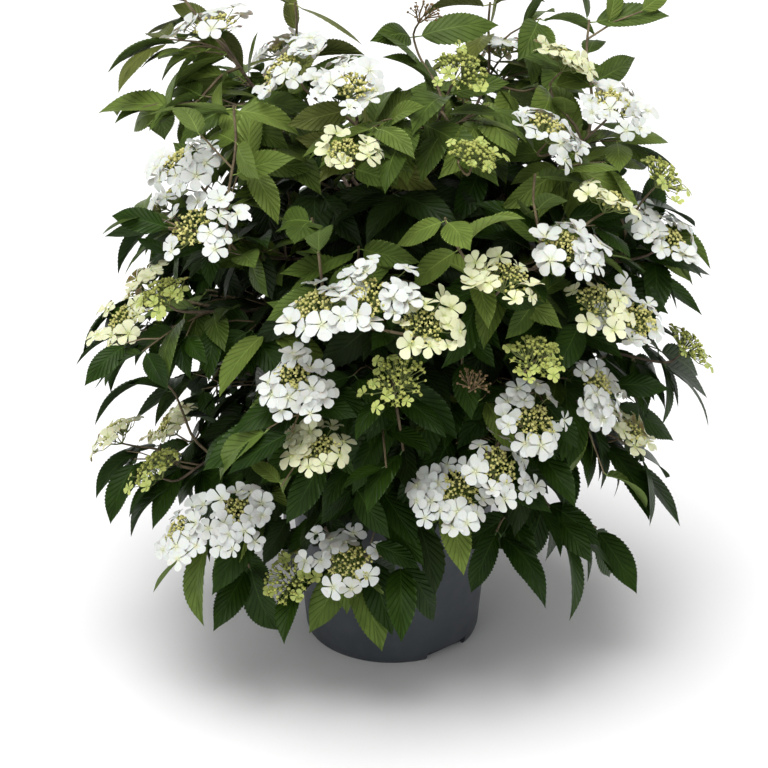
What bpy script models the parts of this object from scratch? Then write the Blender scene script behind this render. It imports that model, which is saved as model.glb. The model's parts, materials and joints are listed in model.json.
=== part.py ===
"""A potted viburnum, built the way the plant grows.

A round nursery pot holds the compost. A short trunk rises out of the compost, and its boughs
arch outwards from it, each to one mass of foliage. A mass is one branching spray: a stem that
carries on from its bough, side shoots, paired leaves and flat lacecap flower heads.

Metres, +Z up. The origin is the centre of the pot's flat underside, and -Y is the front.
Run with: blender --background --python part.py
"""

import math
import random

import bmesh
import bpy
import numpy as np
from mathutils import Quaternion, Vector
from mathutils.bvhtree import BVHTree
from mathutils.geometry import closest_point_on_tri
from mathutils.kdtree import KDTree

UP = Vector((0.0, 0.0, 1.0))

# ---------------------------------------------------------------- driving dimensions
# The pot: a ten-litre round nursery container.
POT_HEIGHT = 0.250
RIM_RADIUS = 0.125
BASE_RADIUS = 0.100
WALL = 0.0022
RIM_BAND = 0.016
RIM_STEP = 0.0025
BASE_EDGE = 0.006
FLOOR_TOP = 0.014
POT_SIDES = 36
SLOT_TURNS = (40.0, 220.0)
SLOT_WIDTH_DEG = 33.0
SLOT_HEIGHT = 0.011
SLOT_DEPTH = 0.012

# The compost, level below the rim.
SOIL_TOP = 0.226
SOIL_CROWN = 0.003

# Touching pieces keep this gap.
CLEAR = 0.0003

# The trunk: a short leaning stem, flared where it leaves the compost.
TRUNK_FOOT = SOIL_TOP + SOIL_CROWN + CLEAR
TRUNK_TOP = 0.455
TRUNK_FOOT_RADIUS = 0.0120
TRUNK_TOP_RADIUS = 0.0050
TRUNK_FLARE = 0.0055
FLARE_HEIGHT = 0.012
TRUNK_LEAN = -0.045
COLLAR = 0.004

# The boughs: one for each mass, each leaving the trunk at its own height and tapering to its end.
FIRST_BOUGH = 0.252
LAST_BOUGH = 0.449
LIMB_FOOT_RADIUS = 0.0034
LIMB_TIP_RADIUS = 0.0014
SHOOT_RADII = (0.0018, 0.0013)
TWIG_RADII = (0.0014, 0.0012)
STALK_RADIUS = 0.0010

# Leaves stand in pairs along each shoot. The solids' leaves are a little larger than life.
LEAF_LENGTH = 0.090
LEAF_WIDTH = 0.50
LEAF_WIDEST = 0.43
LEAF_THICKNESS = 0.0036
ROOT_SUNK = 0.0005
PAIR_STAGGER = 0.0009
LAST_PAIR = 0.0025
FREE_ROOT = 0.016
ROOT_SHARE = 0.2
LEAF_ARCH = 0.10
INTERNODE = 0.052
BACK_INTERNODE = 0.085
MOST_LEAVES = 17

# Flower heads: a flat disc with a scalloped rim, on a stalk above the last pair of leaves.
STALK = 0.032
HEAD_RADIUS = {"white": 0.042, "cream": 0.036, "green": 0.030, "bud": 0.017}
HEAD_DOME = 0.010
HEAD_LOBES = 6
HEAD_VALLEY = 0.64
STALK_SUNK = 0.002

# Solids keep at least this far inside their own space, and clear of the limbs.
MARGIN = 0.0012

# Where each shoot of the seen side ends: kind, then right, back and up from the origin.
# The first shoot of a mass leads, and its bough grows towards it.
CROWN = {
    "top_left": (
        ("white", -0.190, 0.030, 0.705), ("leafy", -0.235, 0.000, 0.770), ("leafy", -0.225, -0.050, 0.640),
    ),
    "upper_left": (
        ("white", -0.195, -0.185, 0.555), ("white", -0.215, -0.120, 0.600), ("leafy", -0.160, -0.130, 0.665),
        ("leafy", -0.110, -0.080, 0.560),
    ),
    "left": (
        ("green", -0.235, -0.165, 0.475), ("cream", -0.285, -0.130, 0.430), ("leafy", -0.270, -0.040, 0.430),
    ),
    "left_low": (
        ("green", -0.255, -0.140, 0.265), ("cream", -0.305, -0.070, 0.275), ("leafy", -0.270, -0.010, 0.320),
    ),
    "low_left": (
        ("white", -0.220, -0.185, 0.215), ("white", -0.160, -0.210, 0.245), ("leafy", -0.155, -0.165, 0.160),
    ),
    "pot_front": (
        ("white", -0.050, -0.215, 0.195), ("green", -0.110, -0.195, 0.165), ("leafy", 0.010, -0.190, 0.180),
    ),
    "front_left": (
        ("white", -0.095, -0.275, 0.425), ("cream", -0.075, -0.275, 0.355), ("leafy", -0.145, -0.245, 0.350),
    ),
    "front": (
        ("white", -0.060, -0.280, 0.510), ("cream", 0.015, -0.290, 0.500), ("leafy", -0.080, -0.225, 0.580),
        ("leafy", -0.035, -0.170, 0.530),
    ),
    "front_low": (
        ("green", 0.000, -0.285, 0.430), ("leafy", 0.010, -0.250, 0.340), ("leafy", -0.040, -0.235, 0.290),
        ("leafy", 0.065, -0.190, 0.370),
    ),
    "front_right": (
        ("cream", 0.105, -0.265, 0.530), ("bud", 0.080, -0.255, 0.420), ("leafy", 0.050, -0.225, 0.580),
        ("leafy", 0.060, -0.155, 0.480),
    ),
    "right_front": (
        ("white", 0.170, -0.225, 0.550), ("cream", 0.215, -0.175, 0.580), ("leafy", 0.140, -0.180, 0.610),
        ("leafy", 0.120, -0.115, 0.540),
    ),
    "right_upper": (
        ("white", 0.285, -0.100, 0.515), ("green", 0.280, -0.090, 0.575), ("leafy", 0.225, -0.030, 0.590),
    ),
    "far_right": (
        ("green", 0.320, -0.060, 0.375), ("leafy", 0.275, -0.030, 0.290), ("leafy", 0.270, 0.015, 0.440),
        ("leafy", 0.220, -0.020, 0.400),
    ),
    "right": (
        ("white", 0.245, -0.175, 0.455), ("cream", 0.205, -0.215, 0.485), ("green", 0.140, -0.260, 0.445),
        ("leafy", 0.165, -0.145, 0.440),
    ),
    "right_low": (
        ("white", 0.210, -0.200, 0.385), ("cream", 0.250, -0.135, 0.310), ("leafy", 0.260, -0.080, 0.250),
    ),
    "low_right": (
        ("white", 0.110, -0.250, 0.320), ("white", 0.140, -0.245, 0.375), ("white", 0.060, -0.250, 0.290),
    ),
    "pot_right": (
        ("leafy", 0.185, -0.140, 0.195), ("leafy", 0.225, -0.100, 0.175), ("leafy", 0.110, -0.185, 0.215),
    ),
    "top_right": (
        ("white", 0.215, -0.070, 0.655), ("white", 0.150, -0.140, 0.640), ("cream", 0.180, -0.050, 0.690),
        ("leafy", 0.205, 0.000, 0.720),
    ),
    "top": (
        ("green", 0.065, -0.110, 0.695), ("green", 0.080, -0.200, 0.635), ("bud", 0.030, -0.050, 0.740),
    ),
    "top_front": (
        ("white", -0.045, -0.145, 0.690), ("white", -0.105, -0.090, 0.695), ("cream", -0.045, -0.210, 0.645),
        ("leafy", -0.030, -0.080, 0.600),
    ),
}

# The far side repeats the crown's oval in tiers: name, height, reach, degrees from the front.
BACK_TIERS = (
    ("back_low", 0.265, 0.270, (118.0, 180.0, 242.0)),
    ("back_mid", 0.445, 0.290, (116.0, 180.0, 244.0)),
    ("back_top", 0.620, 0.200, (142.0, 218.0)),
)
# Each of these masses has four shoots: kind, degrees aside, share of the reach, and rise.
BACK_SHOOTS = (
    ("white", 0.0, 1.00, 0.030),
    ("cream", -20.0, 0.96, -0.030),
    ("leafy", 21.0, 0.94, 0.000),
    ("leafy", 4.0, 0.80, 0.090),
)

# How shoots lie, from the lowest ones (at LOW_END) to the highest (at HIGH_END).
LOW_END = 0.20
HIGH_END = 0.70
LEAVE_RISE_DEG = (40.0, 68.0)
ARRIVE_RISE_DEG = (-40.0, 68.0)
HEAD_LEAN_DEG = (58.0, 16.0)
LEAF_FALL = (1.25, 0.15)

# Limbs that end below RIM_PASS cross the pot's rim by RIM_ROOM on their way down.
RIM_PASS = 0.300
RIM_ROOM = 0.014
RIM_DIP_DEG = -16.0

# A limb in another's way is turned: extra rise and swing in degrees, the least turned first.
RISES = (0.0, -8.0, 8.0, 14.0, -16.0)
SWINGS = (0.0, -14.0, 14.0, -28.0, 28.0)

# Curves leave and arrive over this share of their span. Shoots and leaves lean forward this much.
HANDLE = 0.38
SHOOT_FORWARD = 0.5
TWIG_SPREAD = 1.2
TWIG_LENGTH = 0.070
LEAF_FORWARD = 0.5
LEAF_FACES_OUT = 0.9
LEAF_ROLL_DEG = 18.0
FALL_VARIES = (0.6, 1.3)
LENGTH_VARIES = (0.9, 1.1)

# A leaf that doesn't fit is turned more and more at random and shortened, up to this many times.
LEAF_TRIALS = 16
LEAF_SHRINK = 0.965
FORWARD_TURNS = (-1.0, 1.2)
FALL_TURNS = (-1.2, 0.5)
HEAD_TRIALS = (1.0, 0.85, 0.7, 0.55)
SEED = 5


# ---------------------------------------------------------------- directions and curves
def at_height(low_high, height):
    """A value between its low-crown and high-crown sizes, by height."""
    share = min(max((height - LOW_END) / (HIGH_END - LOW_END), 0.0), 1.0)
    return low_high[0] + (low_high[1] - low_high[0]) * share


def outward(place):
    """The level direction from the pot's axis to a place."""
    level = Vector((place.x, place.y, 0.0))
    return level.normalized() if level.length > 1e-6 else Vector((0.0, -1.0, 0.0))


def raised(level, degrees):
    """A level direction raised by an angle."""
    angle = math.radians(degrees)
    return level * math.cos(angle) + UP * math.sin(angle)


def flow(start, heading, end, arriving, steps):
    """Points along a smooth curve that leaves along heading and ends along arriving."""
    handle = HANDLE * (end - start).length
    first = start + heading * handle
    last = end - arriving * handle
    points = []
    for k in range(steps + 1):
        t = k / steps
        s = 1.0 - t
        points.append(start * s**3 + first * (3 * s * s * t) + last * (3 * s * t * t) + end * t**3)
    return points


def tapering(count, foot, tip):
    """Radii that shrink evenly from foot to tip."""
    return [foot + (tip - foot) * k / (count - 1) for k in range(count)]


def arriving_at(place):
    return raised(outward(place), at_height(ARRIVE_RISE_DEG, place.z))


def head_facing(place):
    return raised(outward(place), 90.0 - at_height(HEAD_LEAN_DEG, place.z))


def wood_end(kind, place):
    """Where a shoot's wood ends: at its last pair of leaves, below its flower head."""
    return place if kind == "leafy" else place - head_facing(place) * STALK


# ---------------------------------------------------------------- where things may grow
def shoot_ends():
    """Every mass's shoots as (kind, place), the mass with the lowest leading shoot first."""
    crown = dict(CROWN)
    for tier, height, reach, turns in BACK_TIERS:
        for k, turn in enumerate(turns):
            ends = []
            for kind, aside, share, rise in BACK_SHOOTS:
                angle = math.radians(turn + (aside if k % 2 else -aside))
                far = reach * share
                ends.append((kind, far * math.sin(angle), -far * math.cos(angle), height + rise))
            crown[f"{tier}_{k + 1}"] = ends
    masses = {name: [(kind, Vector((x, y, z))) for kind, x, y, z in ends] for name, ends in crown.items()}
    return dict(sorted(masses.items(), key=lambda item: item[1][0][1].z))


class Spaces:
    """Each mass's own space: all that lies nearer to its shoot ends than to another mass's."""

    def __init__(self, masses):
        names = [name for name, ends in masses.items() for _ in ends]
        self.sites = np.array([place for ends in masses.values() for _, place in ends])
        self.own = {name: np.array([n == name for n in names]) for name in masses}

    def hold(self, name, places, margin):
        """True if every place is in the mass's space, by at least margin."""
        own = self.own[name]
        foreign = self.sites[~own]
        reach = ((np.array(places)[:, None, :] - self.sites[None, :, :]) ** 2).sum(axis=2)
        nearest = self.sites[own][reach[:, own].argmin(axis=1)]
        apart = np.linalg.norm(foreign[None, :, :] - nearest[:, None, :], axis=2)
        depth = (reach[:, ~own] - reach[:, own].min(axis=1)[:, None]) / (2.0 * apart)
        return bool((depth >= margin).all())


class Limbs:
    """The trunk, boughs and stems as close-set balls, which other growth keeps clear of."""

    SPACING = 0.003

    def __init__(self):
        self.balls = []
        self.owners = []

    def add(self, owner, points, radii):
        for a, b, ra, rb in zip(points, points[1:], radii, radii[1:]):
            count = max(1, math.ceil((b - a).length / self.SPACING))
            for k in range(count + 1):
                self.balls.append((a.lerp(b, k / count), ra + (rb - ra) * k / count))
                self.owners.append(owner)
        self.tree = KDTree(len(self.balls))
        for k, (place, _) in enumerate(self.balls):
            self.tree.insert(place, k)
        self.tree.balance()
        self.widest = max(radius for _, radius in self.balls)

    def clear_of_tube(self, points, radius, mine=None):
        """True if a tube stays clear of all limbs but its own."""
        for a, b in zip(points, points[1:]):
            count = max(1, math.ceil((b - a).length / self.SPACING))
            for k in range(count + 1):
                place = a.lerp(b, k / count)
                for _, ball, gap in self.tree.find_range(place, self.widest + radius + MARGIN):
                    if self.owners[ball] != mine and gap < self.balls[ball][1] + radius + MARGIN:
                        return False
        return True

    def clear_of_leaf(self, corners, room, mine=None, free_root=0.0):
        """True if a leaf stays clear of all limbs but its own, past a free stretch at its root."""
        root, tip = corners[0], corners[-1]
        reach = (tip - root).length * 0.6 + self.widest + MARGIN
        for place, ball, _ in self.tree.find_range((root + tip) / 2, reach):
            if self.owners[ball] == mine or (place - root).length < free_root:
                continue
            apart = self.balls[ball][1] + room
            for facet in BLADE_FACETS:
                a, b, c = (corners[k] for k in facet)
                if (closest_point_on_tri(place, a, b, c) - place).length < apart:
                    return False
        return True


def wall_radius(height):
    """The pot's outer radius below its rim band."""
    return BASE_RADIUS + (RIM_RADIUS - RIM_STEP - BASE_RADIUS) * height / POT_HEIGHT


def clear_of_pot(places, room):
    """True if each place is above the pot, or outside it and off the ground, by room."""
    for place in places:
        level = math.hypot(place.x, place.y)
        over = place.z > POT_HEIGHT + room
        beside = place.z > room and level > wall_radius(max(place.z, 0.0)) + RIM_STEP + room
        if not (over or beside):
            return False
    return True


# ---------------------------------------------------------------- trunk, boughs and stems
def trunk_axis(height):
    return Vector((TRUNK_LEAN * max(height - TRUNK_FOOT - COLLAR, 0.0), 0.0, height))


def trunk_radius(height):
    share = (height - TRUNK_FOOT) / (TRUNK_TOP - TRUNK_FOOT)
    flare = TRUNK_FLARE * math.exp(-(height - TRUNK_FOOT) / FLARE_HEIGHT)
    return TRUNK_FOOT_RADIUS + (TRUNK_TOP_RADIUS - TRUNK_FOOT_RADIUS) * share + flare


def trunk_line():
    heights = [TRUNK_FOOT + COLLAR * k for k in (0.0, 1.0, 3.0, 8.0)]
    heights += [TRUNK_FOOT + (TRUNK_TOP - TRUNK_FOOT) * share for share in (0.4, 0.7, 1.0)]
    return [trunk_axis(h) for h in heights], [trunk_radius(h) for h in heights]


def limb_line(leave_height, end, extra_rise, swing):
    """A limb's way from the side of the trunk to the end of its mass's leading shoot."""
    axis = trunk_axis(leave_height)
    level = outward(end - axis)
    level.rotate(Quaternion(UP, math.radians(swing)))
    root = axis + level * (trunk_radius(leave_height - LIMB_FOOT_RADIUS) + 1.5 * CLEAR)
    collar = root + level * COLLAR
    heading = raised(level, at_height(LEAVE_RISE_DEG, end.z) + extra_rise)
    if end.z >= RIM_PASS:
        return [root] + flow(collar, heading, end, arriving_at(end), 6)
    over = outward(end) * (RIM_RADIUS + RIM_ROOM) + UP * (POT_HEIGHT + 2 * RIM_ROOM)
    across = raised(outward(end), RIM_DIP_DEG)
    return [root] + flow(collar, heading, over, across, 4) + flow(over, across, end, arriving_at(end), 4)[1:]


def leader_line(end):
    """The highest limb carries straight on from the top of the trunk."""
    along = (trunk_axis(TRUNK_TOP) - trunk_axis(TRUNK_TOP - COLLAR)).normalized()
    root = trunk_axis(TRUNK_TOP) + along * CLEAR
    return [root] + flow(root + along * COLLAR, along, end, arriving_at(end), 6)


def limb_trials(order, count, end):
    """The ways that one mass's limb may take, as (points, radius at the trunk)."""
    if order == count - 1:
        return [(leader_line(end), TRUNK_TOP_RADIUS)]
    height = FIRST_BOUGH + (LAST_BOUGH - FIRST_BOUGH) * order / (count - 2)
    turns = [(rise, swing) for rise in RISES for swing in SWINGS]
    turns.sort(key=lambda turn: abs(turn[0]) + abs(turn[1]))
    return [(limb_line(height, end, *turn), LIMB_FOOT_RADIUS) for turn in turns]


def grow_limbs(masses, spaces):
    """Each mass's bough and stem, and all limbs as balls.

    Each limb takes the first way that passes the earlier ones. It is a bough up to its mass's
    own space, and the mass's stem from there on.
    """
    limbs = Limbs()
    limbs.add("trunk", *trunk_line())
    lines = {}
    for order, (name, ends) in enumerate(masses.items()):
        trials = limb_trials(order, len(masses), wood_end(*ends[0]))
        free = [trial for trial in trials if limbs.clear_of_tube(trial[0][2:], LIMB_FOOT_RADIUS)]
        points, foot = (free or trials)[0]
        radii = tapering(len(points), foot, LIMB_TIP_RADIUS)
        limbs.add(name, points, radii)
        split = len(points) // 2
        while split < len(points) - 2 and not spaces.hold(name, points[split:], radii[split] + MARGIN):
            split += 1
        heading = (points[split] - points[split - 1]).normalized()
        stem_foot = [points[split] + heading * CLEAR, points[split] + heading * COLLAR]
        bough = (points[: split + 1], radii[: split + 1])
        stem = (stem_foot + points[split + 1 :], [radii[split]] * 2 + radii[split + 1 :])
        lines[name] = (bough, stem)
    return lines, limbs


# ---------------------------------------------------------------- the spray of one mass
# The upper facets of a blade, as places among its corners: root, left, ridge, right, tip.
BLADE_FACETS = ((0, 1, 2), (0, 2, 3), (1, 4, 2), (2, 4, 3))


def leaf_corners(root, along, facing, length):
    """A leaf's root, left edge, ridge, right edge and tip."""
    across = along.cross(facing).normalized()
    ridge = root + along * (LEAF_WIDEST * length) + facing * (LEAF_ARCH * length)
    half = across * (0.5 * LEAF_WIDTH * length)
    drop = facing * LEAF_THICKNESS
    return root, ridge + half - drop, ridge, ridge - half - drop, root + along * length


def nodes_back(points, first, spacing):
    """Leaf nodes along a shoot past its collar, counted back from its end, as (place, heading)."""
    found = []
    due, walked = first, 0.0
    for a, b in zip(points[-1::-1], points[-2::-1]):
        step = (a - b).length
        while due <= walked + step:
            found.append((a.lerp(b, (due - walked) / step), (a - b).normalized()))
            due += spacing
        walked += step
    return [node for node in found if (node[0] - points[0]).length > COLLAR]


def pair_sides(heading, order):
    """The two sides that a node's leaves take: level on a flat shoot, crossed on a steep one."""
    level = heading.cross(UP)
    level = level.normalized() if level.length > 0.05 else Vector((1.0, 0.0, 0.0))
    level.rotate(Quaternion(heading, math.pi / 2 * (order % 2) * abs(heading.z)))
    return level, -level


def blade_tree(corners):
    """A leaf's blade past its root, for finding what crosses it."""
    root, left, ridge, right, tip = corners
    return BVHTree.FromPolygons([root.lerp(ridge, ROOT_SHARE), left, ridge, right, tip], BLADE_FACETS)


def head_rim(place, facing, radius, count):
    """Points evenly round a flower head's rim."""
    side = facing.orthogonal().normalized() * radius
    return [place + Quaternion(facing, math.tau * k / count) @ side for k in range(count)]


def head_tree(place, facing, radius):
    """A flower head's dome and flat underside, for finding what crosses it."""
    rim = head_rim(place, facing, radius, 2 * HEAD_LOBES)
    count = len(rim)
    dome = [(k, (k + 1) % count, count) for k in range(count)]
    return BVHTree.FromPolygons([*rim, place + facing * HEAD_DOME], [*dome, tuple(range(count))])


class Spray:
    """One mass: shoots, leaves and flower heads that grow from its stem within its own space."""

    def __init__(self, name, stem, spaces, limbs, rng):
        self.name, self.spaces, self.limbs, self.rng = name, spaces, limbs, rng
        self.stem = stem[0]
        self.shoots = []
        self.tubes = []
        self.leaves = []
        self.heads = []
        self.trees = []
        self.wood = Limbs()
        self.add_tube(*stem)

    def add_tube(self, points, radii):
        self.shoots.append(points)
        self.tubes.append((points, radii))
        self.wood.add(len(self.tubes), points, radii)

    def free(self, places, room):
        return self.spaces.hold(self.name, places, room) and clear_of_pot(places, room)

    def tube_fits(self, points, radius):
        """True if a shoot is in its own space, clear of the limbs and of its own spray's wood."""
        if not self.free(points[1:], radius + MARGIN):
            return False
        start = points[0].lerp(points[1], 0.4)
        apart = self.wood.clear_of_tube([start, *points[1:]], radius)
        return apart and self.limbs.clear_of_tube(points, radius, self.name)

    def leaf_fits(self, corners):
        root, left, _, right, tip = corners
        if not self.free([*corners[1:], (root + tip) / 2, (left + tip) / 2, (right + tip) / 2], MARGIN):
            return False
        if not self.limbs.clear_of_leaf(corners, MARGIN + LEAF_THICKNESS, mine=self.name):
            return False
        if not self.wood.clear_of_leaf(corners, CLEAR, free_root=FREE_ROOT):
            return False
        blade = blade_tree(corners)
        if any(blade.overlap(other) for other in self.trees):
            return False
        self.trees.append(blade)
        return True

    def add_leaf(self, node, heading, side):
        """Try a leaf at a node, turned and shortened until it fits."""
        pick = self.rng.uniform
        length = LEAF_LENGTH * pick(*LENGTH_VARIES)
        if len(self.leaves) == MOST_LEAVES:
            return
        for trial in range(LEAF_TRIALS):
            loose = trial / LEAF_TRIALS
            fall = at_height(LEAF_FALL, node.z) * pick(*FALL_VARIES) + loose * pick(*FALL_TURNS)
            forward = LEAF_FORWARD + loose * pick(*FORWARD_TURNS)
            along = (heading * forward + side - UP * fall).normalized()
            facing = UP + outward(node) * LEAF_FACES_OUT
            facing = (facing - along * facing.dot(along)).normalized()
            facing.rotate(Quaternion(along, math.radians(pick(-LEAF_ROLL_DEG, LEAF_ROLL_DEG))))
            corners = leaf_corners(node, along, facing, length)
            if self.leaf_fits(corners):
                self.leaves.append(corners)
                return
            length *= LEAF_SHRINK

    def dress(self, points, spacing):
        """Pairs of leaves along a shoot, back from its end."""
        for order, (node, heading) in enumerate(nodes_back(points, LAST_PAIR, spacing)):
            for stagger, side in zip((PAIR_STAGGER, -PAIR_STAGGER), pair_sides(heading, order)):
                self.add_leaf(node + heading * stagger, heading, side)

    def add_head(self, kind, place):
        """A flower head, made smaller until it fits; True if there is room for one."""
        if kind == "leafy":
            return False
        facing = head_facing(place)
        for share in HEAD_TRIALS:
            radius = HEAD_RADIUS[kind] * share
            rim = head_rim(place, facing, radius, 8)
            fits = self.free([*rim, place + facing * HEAD_DOME], MARGIN)
            if fits and self.limbs.clear_of_tube([*rim, rim[0], rim[4], rim[2], rim[6]], MARGIN, self.name):
                self.heads.append((place, facing, radius))
                self.trees.append(head_tree(place, facing, radius))
                return True
        return False

    def side_shoot(self, end, arriving):
        """A shoot to an end, from the first place on the stem that gives a free way."""
        stem = self.stem
        nearest = min(range(len(stem)), key=lambda k: (stem[k] - end).length)
        for k in sorted(range(1, len(stem) - 1), key=lambda k: abs(k - nearest + 1)):
            root = stem[k].lerp(stem[k + 1], 0.15 + 0.2 * len(self.shoots))
            along = (stem[k + 1] - stem[k]).normalized()
            towards = (end - root).normalized()
            leaving = (along * SHOOT_FORWARD + towards).normalized()
            points = flow(root, leaving, end, (arriving + towards).normalized(), 3)
            if self.tube_fits(points, SHOOT_RADII[0]):
                return points
        return None

    def grow_shoots(self, ends):
        """The stem's flower head, then the side shoots with theirs, then short leafy twigs."""
        kind, place = ends[0]
        if self.add_head(kind, place):
            points, radii = self.tubes[0]
            stalk_top = place + head_facing(place) * STALK_SUNK
            self.tubes[0] = (points + [stalk_top], radii + [STALK_RADIUS])
        for kind, place in ends[1:]:
            end = wood_end(kind, place)
            points = self.side_shoot(end, arriving_at(end))
            if points is None:
                continue
            radii = tapering(len(points), *SHOOT_RADII)
            self.add_tube(points, radii)
            if self.add_head(kind, place):
                stalk_top = place + head_facing(place) * STALK_SUNK
                self.tubes[-1] = (points + [stalk_top], radii + [STALK_RADIUS])
        for order, (node, heading) in enumerate(nodes_back(self.stem, 0.5 * INTERNODE, INTERNODE)):
            side = pair_sides(heading, 0)[order % 2]
            along = heading + side * TWIG_SPREAD + outward(node) * SHOOT_FORWARD
            end = node + along.normalized() * TWIG_LENGTH
            if self.tube_fits([node, end], TWIG_RADII[0]):
                self.add_tube([node, end], list(TWIG_RADII))

    def grow(self, ends):
        self.grow_shoots(ends)
        for points in self.shoots:
            self.dress(points, BACK_INTERNODE if self.name.startswith("back") else INTERNODE)


# ---------------------------------------------------------------- shared makers
def clear_scene():
    for obj in list(bpy.data.objects):
        bpy.data.objects.remove(obj, do_unlink=True)


def material(name, colour, roughness):
    """A plain Principled finish."""
    made = bpy.data.materials.new(name)
    made.use_nodes = True
    shader = made.node_tree.nodes["Principled BSDF"]
    shader.inputs["Base Color"].default_value = (*colour, 1.0)
    shader.inputs["Roughness"].default_value = roughness
    shader.inputs["Metallic"].default_value = 0.0
    made.diffuse_color = (*colour, 1.0)
    return made


def new_object(name, data, collection):
    made = bpy.data.objects.new(name, data)
    collection.objects.link(made)
    return made


def from_bmesh(name, bm, collection):
    mesh = bpy.data.meshes.new(name)
    bm.to_mesh(mesh)
    bm.free()
    return new_object(name, mesh, collection)


def tube(name, points, radii, collection, section=None, resolution=1):
    """A closed tapering tube along points, with its own section or a round one."""
    curve = bpy.data.curves.new(name, "CURVE")
    curve.dimensions = "3D"
    curve.use_fill_caps = True
    curve.bevel_resolution = resolution
    if section is None:
        curve.bevel_depth = 1.0
    else:
        curve.bevel_mode = "OBJECT"
        curve.bevel_object = section
    spline = curve.splines.new("POLY")
    spline.points.add(len(points) - 1)
    for point, place, radius in zip(spline.points, points, radii):
        point.co = (*place, 1.0)
        point.radius = radius
    drawn = new_object(name + "_line", curve, collection)
    mesh = bpy.data.meshes.new_from_object(drawn.evaluated_get(bpy.context.evaluated_depsgraph_get()))
    bpy.data.objects.remove(drawn, do_unlink=True)
    bm = bmesh.new()
    bm.from_mesh(mesh)
    bpy.data.meshes.remove(mesh)
    bmesh.ops.remove_doubles(bm, verts=bm.verts, dist=1e-6)
    bmesh.ops.recalc_face_normals(bm, faces=bm.faces)
    return from_bmesh(name, bm, collection)


def turned(name, profile, sides, collection):
    """A closed shape turned round the upright axis from a profile of (radius, height)."""
    bm = bmesh.new()
    verts = [bm.verts.new((radius, 0.0, height)) for radius, height in profile]
    for a, b in zip(verts, verts[1:]):
        bm.edges.new((a, b))
    made = from_bmesh(name, bm, collection)
    screw = made.modifiers.new("turn", "SCREW")
    screw.steps = sides
    screw.render_steps = sides
    screw.use_merge_vertices = True
    screw.merge_threshold = 0.00005
    return made


# ---------------------------------------------------------------- pot and compost
def make_pot(collection, cutters):
    """The container: a solid floor, thin tapering wall and a thicker rim band, with drain slots."""
    band_foot = POT_HEIGHT - RIM_BAND
    inside_top = RIM_RADIUS - RIM_STEP - WALL
    profile = [
        (0.0, FLOOR_TOP),
        (wall_radius(FLOOR_TOP) - WALL, FLOOR_TOP),
        (inside_top, POT_HEIGHT),
        (RIM_RADIUS, POT_HEIGHT),
        (RIM_RADIUS, band_foot),
        (wall_radius(band_foot), band_foot - RIM_STEP),
        (wall_radius(BASE_EDGE), BASE_EDGE),
        (BASE_RADIUS - BASE_EDGE / 2, 0.0),
        (0.0, 0.0),
    ]
    pot = turned("pot", profile, POT_SIDES, collection)
    width = 2.0 * BASE_RADIUS * math.sin(math.radians(SLOT_WIDTH_DEG / 2))
    for k, turn in enumerate(SLOT_TURNS):
        bpy.ops.mesh.primitive_cube_add(size=1.0)
        slot = bpy.context.object
        slot.name = f"drain_slot_{k + 1}"
        for owner in list(slot.users_collection):
            owner.objects.unlink(slot)
        cutters.objects.link(slot)
        angle = math.radians(turn)
        middle = BASE_RADIUS - SLOT_DEPTH + 0.5 * BASE_RADIUS
        slot.location = (middle * math.sin(angle), -middle * math.cos(angle), 0.0)
        slot.rotation_euler = (0.0, 0.0, angle)
        slot.scale = (width, BASE_RADIUS, 2.0 * SLOT_HEIGHT)
        slot.hide_render = True
        slot.display_type = "WIRE"
        cut = pot.modifiers.new(f"slot_{k + 1}", "BOOLEAN")
        cut.operation = "DIFFERENCE"
        cut.object = slot
    return pot


def make_soil(collection):
    """The compost fills the pot, with a flat middle that the trunk stands on."""
    inside = wall_radius(0.0) - WALL - CLEAR
    slope = (wall_radius(1.0) - wall_radius(0.0))
    bottom = FLOOR_TOP + CLEAR
    profile = [
        (0.0, SOIL_TOP + SOIL_CROWN),
        (2.0 * TRUNK_FOOT_RADIUS, SOIL_TOP + SOIL_CROWN),
        (inside + slope * SOIL_TOP, SOIL_TOP),
        (inside + slope * bottom, bottom),
        (0.0, bottom),
    ]
    return turned("soil", profile, POT_SIDES, collection)


# ---------------------------------------------------------------- one mass as a solid
def make_leaf(corners, collection):
    """A leaf as a low three-sided blade, pointed at the tip and at the root inside the twig."""
    root, left, ridge, right, tip = corners
    sunk = root - (tip - root).normalized() * ROOT_SUNK
    bm = bmesh.new()
    bmesh.ops.create_cone(bm, cap_ends=True, segments=3, radius1=1.0, radius2=0.0, depth=2.0)
    bmesh.ops.remove_doubles(bm, verts=bm.verts, dist=1e-4)
    base = min(bm.faces, key=lambda face: face.calc_center_median().z)
    poked = bmesh.ops.poke(bm, faces=[base])["verts"][0]
    ring = [vert for vert in bm.verts if vert.co.z < 0.0 and vert is not poked]
    ring.sort(key=lambda vert: math.atan2(vert.co.y, vert.co.x))
    top = next(vert for vert in bm.verts if vert.co.z > 0.0)
    for vert, place in zip([poked, top, *ring], (sunk, tip, ridge, left, right)):
        vert.co = place
    return from_bmesh("leaf", bm, collection)


def make_head(place, facing, radius, collection):
    """A flower head: a shallow dome with a scalloped rim and a flat underside."""
    count = 2 * HEAD_LOBES
    bm = bmesh.new()
    bmesh.ops.create_cone(bm, cap_ends=True, segments=count, radius1=1.0, radius2=0.0, depth=2.0)
    bmesh.ops.remove_doubles(bm, verts=bm.verts, dist=1e-4)
    rim = [vert for vert in bm.verts if vert.co.z < 0.0]
    top = next(vert for vert in bm.verts if vert.co.z > 0.0)
    top.co = place + facing * HEAD_DOME
    rim.sort(key=lambda vert: math.atan2(vert.co.y, vert.co.x))
    for k, (vert, edge) in enumerate(zip(rim, head_rim(place, facing, radius, count))):
        vert.co = place.lerp(edge, HEAD_VALLEY if k % 2 else 1.0)
    return from_bmesh("head", bm, collection)


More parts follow.
